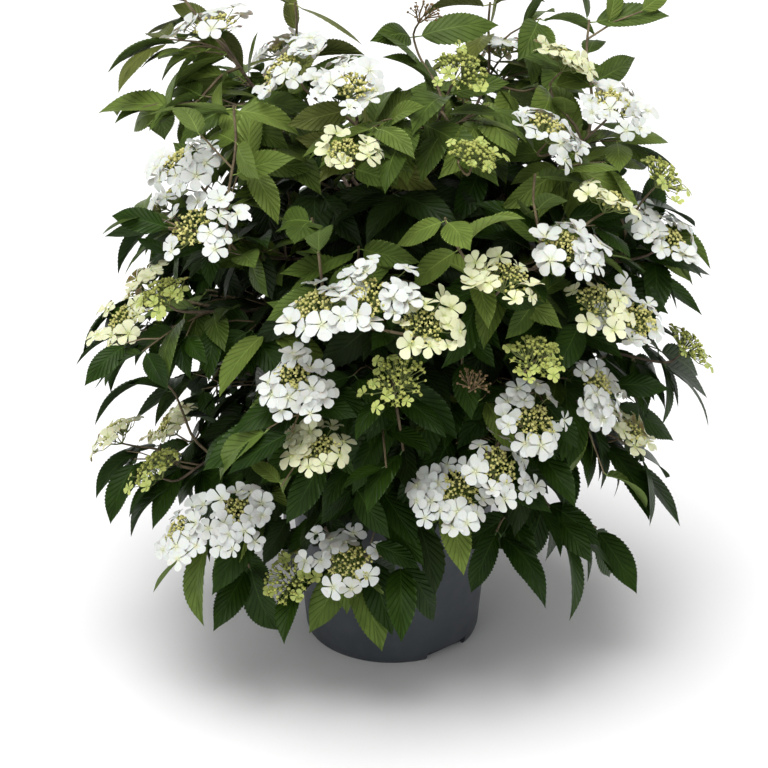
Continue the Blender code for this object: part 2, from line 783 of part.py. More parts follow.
def fuse(name, pieces, collection):
    """Join a mass's pieces into one closed solid, and remove them."""
    trunk, *rest = pieces
    group = bpy.data.collections.new(name + "_pieces")
    bpy.context.scene.collection.children.link(group)
    for piece in rest:
        collection.objects.unlink(piece)
        group.objects.link(piece)
    union = trunk.modifiers.new("fuse", "BOOLEAN")
    union.operation = "UNION"
    union.operand_type = "COLLECTION"
    union.collection = group
    union.solver = "MANIFOLD"
    mesh = bpy.data.meshes.new_from_object(trunk.evaluated_get(bpy.context.evaluated_depsgraph_get()))
    for piece in pieces:
        bpy.data.objects.remove(piece, do_unlink=True)
    bpy.data.collections.remove(group)
    return new_object(name, mesh, collection)


def twig_section(cutters):
    """The three-sided section that twigs are drawn with."""
    curve = bpy.data.curves.new("twig_section", "CURVE")
    spline = curve.splines.new("POLY")
    spline.points.add(2)
    for k, point in enumerate(spline.points):
        point.co = (math.cos(math.tau * k / 3), math.sin(math.tau * k / 3), 0.0, 1.0)
    spline.use_cyclic_u = True
    section = new_object("twig_section", curve, cutters)
    section.hide_render = True
    section.display_type = "WIRE"
    return section


def make_mass(name, spray, section, collection):
    pieces = [tube("twig", points, radii, collection, section) for points, radii in spray.tubes]
    pieces += [make_leaf(corners, collection) for corners in spray.leaves]
    pieces += [make_head(*head, collection) for head in spray.heads]
    return fuse(name, pieces, collection)


# ---------------------------------------------------------------- the whole plant
def main():
    clear_scene()
    parts = bpy.data.collections.new("potted_viburnum")
    cutters = bpy.data.collections.new("cutters")
    bpy.context.scene.collection.children.link(parts)
    bpy.context.scene.collection.children.link(cutters)
    plastic = material("pot_plastic", (0.035, 0.043, 0.052), 0.55)
    compost = material("compost", (0.045, 0.028, 0.018), 0.95)
    bark = material("bark", (0.13, 0.085, 0.05), 0.85)
    foliage = material("foliage", (0.055, 0.13, 0.035), 0.55)

    make_pot(parts, cutters).data.materials.append(plastic)
    make_soil(parts).data.materials.append(compost)
    points, radii = trunk_line()
    tube("trunk", points, radii, parts, resolution=3).data.materials.append(bark)

    masses = shoot_ends()
    spaces = Spaces(masses)
    lines, limbs = grow_limbs(masses, spaces)
    section = twig_section(cutters)
    rng = random.Random(SEED)
    for name, ends in masses.items():
        bough, stem = lines[name]
        tube("bough_" + name, *bough, parts).data.materials.append(bark)
        spray = Spray(name, stem, spaces, limbs, rng)
        spray.grow(ends)
        mass = make_mass(name, spray, section, parts)
        mass.data.materials.clear()
        mass.data.materials.append(foliage)
        print(name, "leaves", len(spray.leaves), "heads", len(spray.heads))
    bpy.data.objects.remove(section, do_unlink=True)


if __name__ == "__main__":
    main()
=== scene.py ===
# %% [markdown]
# # A potted viburnum with lacecap flowers
#
# The real plant is a rounded shrub in a ten-litre nursery pot. Its foliage is dense, toothed and
# glossy, and flat flower heads stand out of it: a ring of large white florets round a disc of
# tiny buds. The frame brings the pot, the trunk and one coarse solid for each bough and mass.
# Here each of them gets its real surface, and every mass is grown again with finer twigs.

# %% Load the frame
import json
import math
import random
from collections import namedtuple

import bmesh
import bpy
import numpy as np
from mathutils import Matrix, Quaternion, Vector
from mathutils.bvhtree import BVHTree
from mathutils.geometry import closest_point_on_tri
from mathutils.kdtree import KDTree

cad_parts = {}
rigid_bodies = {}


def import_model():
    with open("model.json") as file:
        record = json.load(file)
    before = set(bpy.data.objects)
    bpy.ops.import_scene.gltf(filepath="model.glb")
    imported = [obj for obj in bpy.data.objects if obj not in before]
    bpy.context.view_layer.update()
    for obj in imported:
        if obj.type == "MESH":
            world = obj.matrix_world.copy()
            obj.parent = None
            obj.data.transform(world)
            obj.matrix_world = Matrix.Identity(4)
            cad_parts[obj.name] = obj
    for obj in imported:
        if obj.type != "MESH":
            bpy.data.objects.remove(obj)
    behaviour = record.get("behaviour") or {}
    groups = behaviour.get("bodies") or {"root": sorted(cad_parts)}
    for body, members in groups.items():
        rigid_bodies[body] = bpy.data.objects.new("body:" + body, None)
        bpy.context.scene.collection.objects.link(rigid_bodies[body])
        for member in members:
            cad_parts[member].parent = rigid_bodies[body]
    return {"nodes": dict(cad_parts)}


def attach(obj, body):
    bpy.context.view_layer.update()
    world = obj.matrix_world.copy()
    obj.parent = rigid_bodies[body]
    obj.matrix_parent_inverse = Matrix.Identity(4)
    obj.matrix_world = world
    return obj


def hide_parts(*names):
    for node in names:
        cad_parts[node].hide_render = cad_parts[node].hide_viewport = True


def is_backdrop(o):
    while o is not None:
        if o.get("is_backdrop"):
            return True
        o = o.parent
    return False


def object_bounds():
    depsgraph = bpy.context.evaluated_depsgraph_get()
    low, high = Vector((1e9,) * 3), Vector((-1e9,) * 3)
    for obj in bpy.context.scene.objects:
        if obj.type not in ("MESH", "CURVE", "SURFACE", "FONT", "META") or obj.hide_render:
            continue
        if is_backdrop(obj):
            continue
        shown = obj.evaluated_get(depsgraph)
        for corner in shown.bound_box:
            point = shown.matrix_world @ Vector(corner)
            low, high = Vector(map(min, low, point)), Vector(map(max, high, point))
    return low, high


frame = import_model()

UP = Vector((0.0, 0.0, 1.0))


def put_in_scene(name, data):
    """A new object in the scene, at the origin."""
    made = bpy.data.objects.new(name, data)
    bpy.context.scene.collection.objects.link(made)
    return made


bpy.context.view_layer.update()

# %% [markdown]
# ## The camera
#
# A lens of about 100 mm on a full-frame camera, over two metres away and looking down by 24
# degrees, shows the crown without stretching its edges. The camera is made first, so that every later
# piece can be judged through it.

# %% The camera
CAMERA_PLACE = (-0.0095, -2.2, 1.27)
CAMERA_DOWN_DEG = 23.7
FOCAL_PIXELS = 2139.0
FRAME_PIXELS = 768.0

camera_data = bpy.data.cameras.new("camera")
camera_data.sensor_width = 36.0
camera_data.lens = camera_data.sensor_width * FOCAL_PIXELS / FRAME_PIXELS
camera = put_in_scene("camera", camera_data)
camera.location = CAMERA_PLACE
camera.rotation_euler = (math.radians(90.0 - CAMERA_DOWN_DEG), 0.0, 0.0)
bpy.context.scene.camera = camera
print("lens", round(camera_data.lens, 1), "mm")

# %% [markdown]
# ## The plant's sizes
#
# The growth rule below is the one that shaped the solids, so the same named sizes drive it. Each
# entry of the crown is a mass with its shoots' ends: the kind of flower head, or leafy where there
# is none, then metres to the right, back and up. The first shoot leads, and the mass's bough ends
# in it. The far side repeats the crown's oval in three tiers.

# %% Sizes of the pot, trunk and limbs
POT_HEIGHT = 0.250
RIM_RADIUS = 0.125
BASE_RADIUS = 0.100
WALL = 0.0022
RIM_STEP = 0.0025
SOIL_TOP = 0.226
SOIL_CROWN = 0.003
CLEAR = 0.0003
MARGIN = 0.0012

TRUNK_FOOT = SOIL_TOP + SOIL_CROWN + CLEAR
TRUNK_TOP = 0.455
TRUNK_FOOT_RADIUS = 0.0120
TRUNK_TOP_RADIUS = 0.0050
TRUNK_FLARE = 0.0055
FLARE_HEIGHT = 0.012
TRUNK_LEAN = -0.045
COLLAR = 0.004

FIRST_BOUGH = 0.252
LAST_BOUGH = 0.449
LIMB_FOOT_RADIUS = 0.0034
LIMB_TIP_RADIUS = 0.0014
SHOOT_RADII = (0.0018, 0.0013)
STALK_RADIUS = 0.0010
STALK = 0.032
HEAD_RADIUS = {"white": 0.042, "cream": 0.036, "green": 0.027, "bud": 0.017}

LOW_END = 0.20
HIGH_END = 0.70
LEAVE_RISE_DEG = (40.0, 68.0)
ARRIVE_RISE_DEG = (-40.0, 68.0)
HEAD_LEAN_DEG = (58.0, 34.0)
LEAF_FALL = (1.25, 0.48)
RIM_PASS = 0.300
RIM_ROOM = 0.014
RIM_DIP_DEG = -16.0
RISES = (0.0, -8.0, 8.0, 14.0, -16.0)
SWINGS = (0.0, -14.0, 14.0, -28.0, 28.0)
HANDLE = 0.38
SHOOT_FORWARD = 0.5
SHOOT_SLACKS = (0.0, 0.015, 0.035)
SEED = 11

# %% Where the crown's shoots end
CROWN = {
    "top_left": (
        ("white", -0.190, -0.005, 0.715), ("leafy", -0.235, 0.000, 0.770),
        ("leafy", -0.225, -0.050, 0.640),
    ),
    "upper_left": (
        ("white", -0.195, -0.185, 0.555), ("white", -0.215, -0.120, 0.600),
        ("leafy", -0.160, -0.130, 0.665), ("leafy", -0.110, -0.080, 0.560),
    ),
    "left": (
        ("green", -0.235, -0.165, 0.475), ("cream", -0.285, -0.130, 0.430), ("leafy", -0.270, -0.040, 0.430),
    ),
    "left_low": (
        ("green", -0.255, -0.140, 0.265), ("cream", -0.305, -0.070, 0.275), ("leafy", -0.270, -0.010, 0.320),
    ),
    "low_left": (
        ("white", -0.220, -0.185, 0.215), ("white", -0.160, -0.210, 0.245), ("leafy", -0.155, -0.165, 0.160),
    ),
    "pot_front": (
        ("white", -0.050, -0.215, 0.195), ("green", -0.110, -0.195, 0.165), ("leafy", 0.010, -0.190, 0.180),
    ),
    "front_left": (
        ("white", -0.095, -0.275, 0.425), ("cream", -0.075, -0.275, 0.355), ("leafy", -0.145, -0.245, 0.350),
    ),
    "front": (
        ("white", -0.072, -0.280, 0.508), ("white", -0.018, -0.278, 0.522), ("cream", 0.032, -0.286, 0.492),
        ("leafy", -0.080, -0.225, 0.580), ("leafy", -0.035, -0.170, 0.530),
    ),
    "front_low": (
        ("green", 0.000, -0.285, 0.430), ("leafy", 0.010, -0.250, 0.340), ("leafy", -0.040, -0.235, 0.290),
        ("leafy", 0.065, -0.190, 0.370),
    ),
    "front_right": (
        ("cream", 0.105, -0.265, 0.530), ("bud", 0.080, -0.255, 0.420), ("leafy", 0.050, -0.225, 0.580),
        ("leafy", 0.060, -0.155, 0.480),
    ),
    "right_front": (
        ("white", 0.170, -0.225, 0.550), ("cream", 0.215, -0.175, 0.580), ("leafy", 0.140, -0.180, 0.610),
        ("leafy", 0.120, -0.115, 0.540),
    ),
    "right_upper": (
        ("white", 0.285, -0.100, 0.515), ("green", 0.280, -0.090, 0.575), ("leafy", 0.225, -0.030, 0.590),
    ),
    "far_right": (
        ("green", 0.320, -0.060, 0.375), ("leafy", 0.275, -0.030, 0.290), ("leafy", 0.270, 0.015, 0.440),
        ("leafy", 0.220, -0.020, 0.400),
    ),
    "right": (
        ("white", 0.245, -0.175, 0.455), ("cream", 0.205, -0.215, 0.485), ("green", 0.140, -0.260, 0.445),
        ("leafy", 0.165, -0.145, 0.440),
    ),
    "right_low": (
        ("white", 0.210, -0.200, 0.385), ("cream", 0.250, -0.135, 0.310), ("leafy", 0.260, -0.080, 0.250),
    ),
    "low_right": (
        ("white", 0.110, -0.250, 0.320), ("white", 0.140, -0.245, 0.375), ("white", 0.060, -0.250, 0.290),
    ),
    "pot_right": (
        ("leafy", 0.185, -0.140, 0.195), ("leafy", 0.225, -0.100, 0.175), ("leafy", 0.110, -0.185, 0.215),
    ),
    "top_right": (
        ("white", 0.228, -0.080, 0.650), ("white", 0.160, -0.140, 0.640), ("cream", 0.180, -0.050, 0.690),
        ("leafy", 0.205, 0.000, 0.720),
    ),
    "top": (
        ("green", 0.065, -0.110, 0.695), ("green", 0.080, -0.200, 0.635), ("bud", 0.030, -0.050, 0.740),
    ),
    "top_front": (
        ("white", -0.045, -0.145, 0.690), ("white", -0.105, -0.090, 0.695), ("cream", -0.045, -0.210, 0.645),
        ("leafy", -0.030, -0.080, 0.600),
    ),
}

# The far side's tiers: name, height, reach and each mass's turn from the front, then each mass's
# shoots: kind, turn aside, share of the tier's reach and rise.
BACK_TIERS = (
    ("back_low", 0.265, 0.270, (118.0, 180.0, 242.0)),
    ("back_mid", 0.445, 0.290, (116.0, 180.0, 244.0)),
    ("back_top", 0.620, 0.200, (142.0, 218.0)),
)
BACK_SHOOTS = (
    ("white", 0.0, 1.00, 0.030),
    ("cream", -20.0, 0.96, -0.030),
    ("leafy", 21.0, 0.94, 0.000),
    ("leafy", 4.0, 0.80, 0.090),
)
print(len(CROWN), "masses on the seen side")

# %% [markdown]
# ## How shoots lie
#
# Low shoots arch over and hang, high ones stand up. One helper blends any such pair of values by
# height, and a cubic curve that leaves and arrives along given directions makes every limb.

# %% Directions and curves
def at_height(low_high, height):
    """A value between its low-crown and high-crown sizes, by height."""
    low, high = low_high
    return low + (high - low) * min(max((height - LOW_END) / (HIGH_END - LOW_END), 0.0), 1.0)


def outward(place):
    """The level direction from the pot's axis to a place."""
    level = Vector((place.x, place.y, 0.0))
    return level.normalized() if level.length > 1e-6 else Vector((0.0, -1.0, 0.0))


def raised(level, degrees):
    """A level direction raised by an angle."""
    angle = math.radians(degrees)
    return level * math.cos(angle) + UP * math.sin(angle)


def flow(start, heading, end, arriving, steps):
    """Points along a smooth curve that leaves along heading and ends along arriving."""
    handle = HANDLE * (end - start).length
    first = start + heading * handle
    last = end - arriving * handle
    points = []
    for k in range(steps + 1):
        t = k / steps
        s = 1.0 - t
        points.append(start * s**3 + first * (3 * s * s * t) + last * (3 * s * t * t) + end * t**3)
    return points


def tapering(count, foot, tip):
    """Radii that shrink evenly from foot to tip."""
    return [foot + (tip - foot) * k / (count - 1) for k in range(count)]


def arriving_at(place):
    """How a shoot runs where it ends."""
    return raised(outward(place), at_height(ARRIVE_RISE_DEG, place.z))


def head_facing(place):
    """How a flower head's stalk runs."""
    return raised(outward(place), 90.0 - at_height(HEAD_LEAN_DEG, place.z))


def wood_end(kind, place):
    """Where a shoot's wood ends: at its last pair of leaves, below its flower head."""
    return place if kind == "leafy" else place - head_facing(place) * STALK


def shoot_ends():
    """Every mass's shoots as (kind, place), the mass with the lowest leading shoot first."""
    crown = dict(CROWN)
    for tier, height, reach, turns in BACK_TIERS:
        for k, turn in enumerate(turns):
            ends = []
            for kind, aside, share, rise in BACK_SHOOTS:
                angle = math.radians(turn + (aside if k % 2 else -aside))
                far = reach * share
                ends.append((kind, far * math.sin(angle), -far * math.cos(angle), height + rise))
            crown[f"{tier}_{k + 1}"] = ends
    masses = {name: [(kind, Vector((x, y, z))) for kind, x, y, z in ends] for name, ends in crown.items()}
    return dict(sorted(masses.items(), key=lambda item: item[1][0][1].z))


masses = shoot_ends()
print(len(masses), "masses with", sum(len(ends) for ends in masses.values()), "shoots")

# %% [markdown]
# ## Keeping apart
#
# Leaves and shoots need to know what is near them. Every mass owns the space nearest to its own
# shoot ends. All limbs are remembered as close-set balls in a search tree, which makes asking
# for the wood near a leaf quick.

# %% Each mass's space, the limbs and the pot
class Spaces:
    """Each mass's own space: all that lies nearer to its shoot ends than to another mass's."""

    def __init__(self, masses):
        names = [name for name, ends in masses.items() for _ in ends]
        self.sites = np.array([place for ends in masses.values() for _, place in ends])
        self.own = {name: np.array([n == name for n in names]) for name in masses}

    def hold(self, name, places, margin):
        """True if all places are in the mass's space, by at least margin."""
        own = self.own[name]
        foreign = self.sites[~own]
        reach = ((np.array(places)[:, None, :] - self.sites[None, :, :]) ** 2).sum(axis=2)
        nearest = self.sites[own][reach[:, own].argmin(axis=1)]
        apart = np.linalg.norm(foreign[None, :, :] - nearest[:, None, :], axis=2)
        depth = (reach[:, ~own] - reach[:, own].min(axis=1)[:, None]) / (2.0 * apart)
        return bool((depth >= margin).all())


BALL_SPACING = 0.003
BLADE_FACETS = ((0, 1, 2), (0, 2, 3), (1, 4, 2), (2, 4, 3))


def along_line(points):
    """Close-set places along a line, as (place, which stretch, share of the stretch)."""
    for stretch, (a, b) in enumerate(zip(points, points[1:])):
        count = max(1, math.ceil((b - a).length / BALL_SPACING))
        for k in range(count + 1):
            yield a.lerp(b, k / count), stretch, k / count


class Limbs:
    """The trunk, boughs and stems as close-set balls, which other growth keeps clear of."""

    def __init__(self):
        self.balls = []
        self.owners = []

    def add(self, owner, points, radii):
        """Remember a tapering limb."""
        for place, stretch, share in along_line(points):
            radius = radii[stretch] + (radii[stretch + 1] - radii[stretch]) * share
            self.balls.append((place, radius))
            self.owners.append(owner)
        self.tree = KDTree(len(self.balls))
        for k, (place, _) in enumerate(self.balls):
            self.tree.insert(place, k)
        self.tree.balance()
        self.widest = max(radius for _, radius in self.balls)

    def clear_of_tube(self, points, radius, mine=None):
        """True if a tube stays clear of all limbs but its own."""
        for place, _, _ in along_line(points):
            for _, ball, gap in self.tree.find_range(place, self.widest + radius + MARGIN):
                if self.owners[ball] != mine and gap < self.balls[ball][1] + radius + MARGIN:
                    return False
        return True

    def clear_of_leaf(self, corners, room, mine=None):
        """True if a leaf stays clear of all limbs but its own."""
        root, tip = corners[0], corners[-1]
        reach = (tip - root).length * 0.6 + self.widest + MARGIN
        facets = [[corners[k] for k in facet] for facet in BLADE_FACETS]
        for place, ball, _ in self.tree.find_range((root + tip) / 2, reach):
            apart = self.balls[ball][1] + room
            if self.owners[ball] != mine and any(
                    (closest_point_on_tri(place, *facet) - place).length < apart for facet in facets):
                return False
        return True


def wall_radius(height):
    """The pot's outer radius below its rim band."""
    return BASE_RADIUS + (RIM_RADIUS - RIM_STEP - BASE_RADIUS) * height / POT_HEIGHT


def clear_of_pot(places, room):
    """True if each place is above the pot, or outside it and off the ground, by room."""
    for place in places:
        level = math.hypot(place.x, place.y)
        over = place.z > POT_HEIGHT + room
        beside = place.z > room and level > wall_radius(max(place.z, 0.0)) + RIM_STEP + room
        if not (over or beside):
            return False
    return True


class Reach:
    """How far each mass may reach: the convex hull of its solid, as planes."""

    def __init__(self, names):
        self.planes = {}
        for name in names:
            bm = bmesh.new()
            bm.from_mesh(frame["nodes"][name].data)
            hull = bmesh.ops.convex_hull(bm, input=bm.verts)["geom"]
            middle = sum((vert.co for vert in bm.verts), Vector()) / len(bm.verts)
            planes = []
            for face in (part for part in hull if isinstance(part, bmesh.types.BMFace)):
                face.normal_update()
                corner = face.verts[0].co
                out = face.normal if face.normal.dot(corner - middle) > 0 else -face.normal
                planes.append((*out, out.dot(corner)))
            self.planes[name] = np.array(planes)
            bm.free()

    def holds(self, name, places, room):
        """True if all places are inside the mass's hull, by at least room."""
        planes = self.planes[name]
        return bool((np.array(places) @ planes[:, :3].T <= planes[:, 3] - room).all())


spaces = Spaces(masses)
reach = Reach(masses)
print(len(spaces.sites), "shoot ends share out the crown")

# %% [markdown]
# ## Trunk and boughs
#
# The trunk leans a little and flares at the compost. Each mass has one limb: the lowest leaves the
# trunk lowest, and the highest one carries the trunk on. A limb that meets an earlier one takes
# its next free way. It is a bough up to its mass's space and the mass's stem from there on.

# %% Grow the limbs
def trunk_axis(height):
    """The trunk's leaning middle line."""
    return Vector((TRUNK_LEAN * max(height - TRUNK_FOOT - COLLAR, 0.0), 0.0, height))


def trunk_radius(height):
    """The trunk's radius, with its flare at the foot."""
    share = (height - TRUNK_FOOT) / (TRUNK_TOP - TRUNK_FOOT)
    flare = TRUNK_FLARE * math.exp(-(height - TRUNK_FOOT) / FLARE_HEIGHT)
    return TRUNK_FOOT_RADIUS + (TRUNK_TOP_RADIUS - TRUNK_FOOT_RADIUS) * share + flare


def trunk_line():
    """The trunk's points and radii, closer together where it flares."""
    heights = [TRUNK_FOOT + COLLAR * k for k in (0.0, 1.0, 3.0, 8.0)]
    heights += [TRUNK_FOOT + (TRUNK_TOP - TRUNK_FOOT) * share for share in (0.4, 0.7, 1.0)]
    return [trunk_axis(h) for h in heights], [trunk_radius(h) for h in heights]


def limb_line(leave_height, end, extra_rise, swing):
    """A limb's way from the side of the trunk to the end of its mass's leading shoot."""
    axis = trunk_axis(leave_height)
    level = outward(end - axis)
    level.rotate(Quaternion(UP, math.radians(swing)))
    root = axis + level * (trunk_radius(leave_height - LIMB_FOOT_RADIUS) + 1.5 * CLEAR)
    collar = root + level * COLLAR
    heading = raised(level, at_height(LEAVE_RISE_DEG, end.z) + extra_rise)
    if end.z >= RIM_PASS:
        return [root] + flow(collar, heading, end, arriving_at(end), 6)
    over = outward(end) * (RIM_RADIUS + RIM_ROOM) + UP * (POT_HEIGHT + 2 * RIM_ROOM)
    across = raised(outward(end), RIM_DIP_DEG)
    beyond = flow(over, across, end, arriving_at(end), 4)[1:]
    return [root] + flow(collar, heading, over, across, 4) + beyond


def leader_line(end):
    """The highest limb carries straight on from the top of the trunk."""
    along = (trunk_axis(TRUNK_TOP) - trunk_axis(TRUNK_TOP - COLLAR)).normalized()
    root = trunk_axis(TRUNK_TOP) + along * CLEAR
    return [root] + flow(root + along * COLLAR, along, end, arriving_at(end), 6)


def limb_trials(order, count, end):
    """The ways that one mass's limb may take, as (points, radius at the trunk)."""
    if order == count - 1:
        return [(leader_line(end), TRUNK_TOP_RADIUS)]
    height = FIRST_BOUGH + (LAST_BOUGH - FIRST_BOUGH) * order / (count - 2)
    turns = [(rise, swing) for rise in RISES for swing in SWINGS]
    turns.sort(key=lambda turn: abs(turn[0]) + abs(turn[1]))
    return [(limb_line(height, end, *turn), LIMB_FOOT_RADIUS) for turn in turns]


def grow_limbs(masses, spaces):
    """Each mass's limb as (points, radii, where its stem starts), and all limbs as balls."""
    limbs = Limbs()
    limbs.add("trunk", *trunk_line())
    lines = {}
    for order, (name, ends) in enumerate(masses.items()):
        trials = limb_trials(order, len(masses), wood_end(*ends[0]))
        free = [trial for trial in trials if limbs.clear_of_tube(trial[0][2:], LIMB_FOOT_RADIUS)]
        points, foot = (free or trials)[0]
        radii = tapering(len(points), foot, LIMB_TIP_RADIUS)
        limbs.add(name, points, radii)
        split = len(points) // 2
        while split < len(points) - 2 and not spaces.hold(name, points[split:], radii[split] + MARGIN):
            split += 1
        lines[name] = (points, radii, split)
    return lines, limbs


limb_lines, limbs = grow_limbs(masses, spaces)
print(len(limb_lines), "limbs as", len(limbs.balls), "balls")

# %% [markdown]
# ## Sprays of shoots, twigs and leaves
#
# A viburnum carries its leaves in opposite pairs, and a bud beside each leaf can grow into a twig
# with pairs of its own. So every shoot gets twigs from its nodes, those get shorter twigs, and
# each of them gets pairs of leaves, the pair at a shoot's end the largest. A leaf that would cross
# an earlier one, or hide a flower head, is turned and shortened a few times, and left out if it
# still doesn't fit. The boughs inside the crown get leafy twigs too, so that no hole shows. Each
# spray has one colour: a dark green inside the crown, which is painted shade, deep green below,
# partly painted shade, fresher above and bronzed on the top tips.

# %% Sizes of the sprays
LEAF_LENGTH = 0.084
LEAF_WIDTH = 0.375
LEAF_WIDEST = 0.40
LEAF_ARCH = 0.10
LENGTH_VARIES = (0.84, 1.16)
END_PAIR_LONGER = 1.15
END_PAIR_OUT = 0.55
INTERNODE = 0.034
LAST_PAIR = 0.0025
LEAF_FORWARD = 0.5
LEAF_FACES_OUT = 0.75
LEAF_ROLL_DEG = 36.0
FALL_VARIES = (0.50, 1.50)
LEAF_TRIALS = 12
LEAF_SHRINK = 0.96
FORWARD_TURNS = (-1.0, 1.2)
FALL_TURNS = (-1.2, 0.5)
BLADE_FOOT = 0.35
TEST_SHARE = 0.82
NEAR_LENGTHS = 1.1
MOST_LEAVES = 6000
LEAF_STRAYS = 0.012
REACH_ROOM = -0.020

TWIG_GAPS = (1.8, 1.2)
SIDE_TWIG_GAP = 0.9
INNER_TWIG_GAP = 1.6
TWIG_INTERNODE = 0.85
TWIG_LENGTHS = (0.075, 0.045)
TWIG_LENGTH_VARIES = (0.8, 1.15)
TWIG_RADII = ((0.0013, 0.0009), (0.0010, 0.0007))
TWIG_SPREAD = 1.2
TWIG_FORWARD = (0.5, 1.3)
TWIG_RISE = (-0.3, 0.4)
TWIG_ARCH = 0.05
TWIG_ROOM = 0.008
LEAFY_BOUGH_FROM = 0.10
FIRST_FORK = 0.15
NEXT_FORK = 0.20
CUT_MOST = 0.9

HEAD_DEPTH = 0.013
HEAD_UPRIGHT = 0.40
HEAD_ASKEW_DEG = 14.0
HEAD_SIZE_VARIES = (0.92, 1.16)
HEAD_SIDES = 8
HEAD_LOOKS_OUT = 1.6
HEAD_SIGHT = 0.16
HEAD_BEHIND = -0.004
HEAD_OPEN = 0.90
SEEN_TO = 0.05

HEIGHT_TONES = ("deep", "mid", "fresh")
TONES = (*HEIGHT_TONES, "bronze", "shade")
# Deep green low down and fresher green high up: partly the leaves' own colour, partly painted shade low in
# the crown.
TONE_HEIGHTS = (0.44, 0.62)
TONE_SHARES_LOW = (0.80, 0.14, 0.06)
TONE_SHARES_HIGH = (0.02, 0.50, 0.48)
# Inside leaves within this radius and below this height take the dark shade green: painted shade.
SHADE_RADIUS = 0.20
SHADE_TOP = 0.58
BRONZE_FROM = 0.66
BRONZE_SHARE = 0.28

# %% Nodes, pairs and the outline of a leaf
def leaf_corners(root, along, facing, length):
    """A leaf's root, left edge, ridge, right edge and tip."""
    across = along.cross(facing).normalized()
    ridge = root + along * (LEAF_WIDEST * length) + facing * (LEAF_ARCH * length)
    half = across * (0.5 * LEAF_WIDTH * length)
    return root, ridge + half, ridge, ridge - half, root + along * length


def nodes_back(points, first, spacing):
    """Nodes along a shoot, counted back from its end, as (place, heading)."""
    found = []
    due, walked = first, 0.0
    for a, b in zip(points[-1::-1], points[-2::-1]):
        step = (a - b).length
        while due <= walked + step:
            found.append((a.lerp(b, (due - walked) / step), (a - b).normalized()))
            due += spacing
        walked += step
    return found


def shortened(points, amount):
    """A line without its last stretch, but with at least a stump of its first one."""
    points = list(points)
    step = (points[-1] - points[-2]).length
    while step <= amount and len(points) > 2:
        amount -= step
        points.pop()
        step = (points[-1] - points[-2]).length
    points[-1] = points[-1].lerp(points[-2], min(amount / step, CUT_MOST))
    return points


def pair_sides(heading, order):
    """The two sides that a node's leaves take: level on a flat shoot, crossed on a steep one."""
    level = heading.cross(UP)
    level = level.normalized() if level.length > 0.05 else Vector((1.0, 0.0, 0.0))
    level.rotate(Quaternion(heading, math.pi / 2 * (order % 2) * abs(heading.z)))
    return level, -level


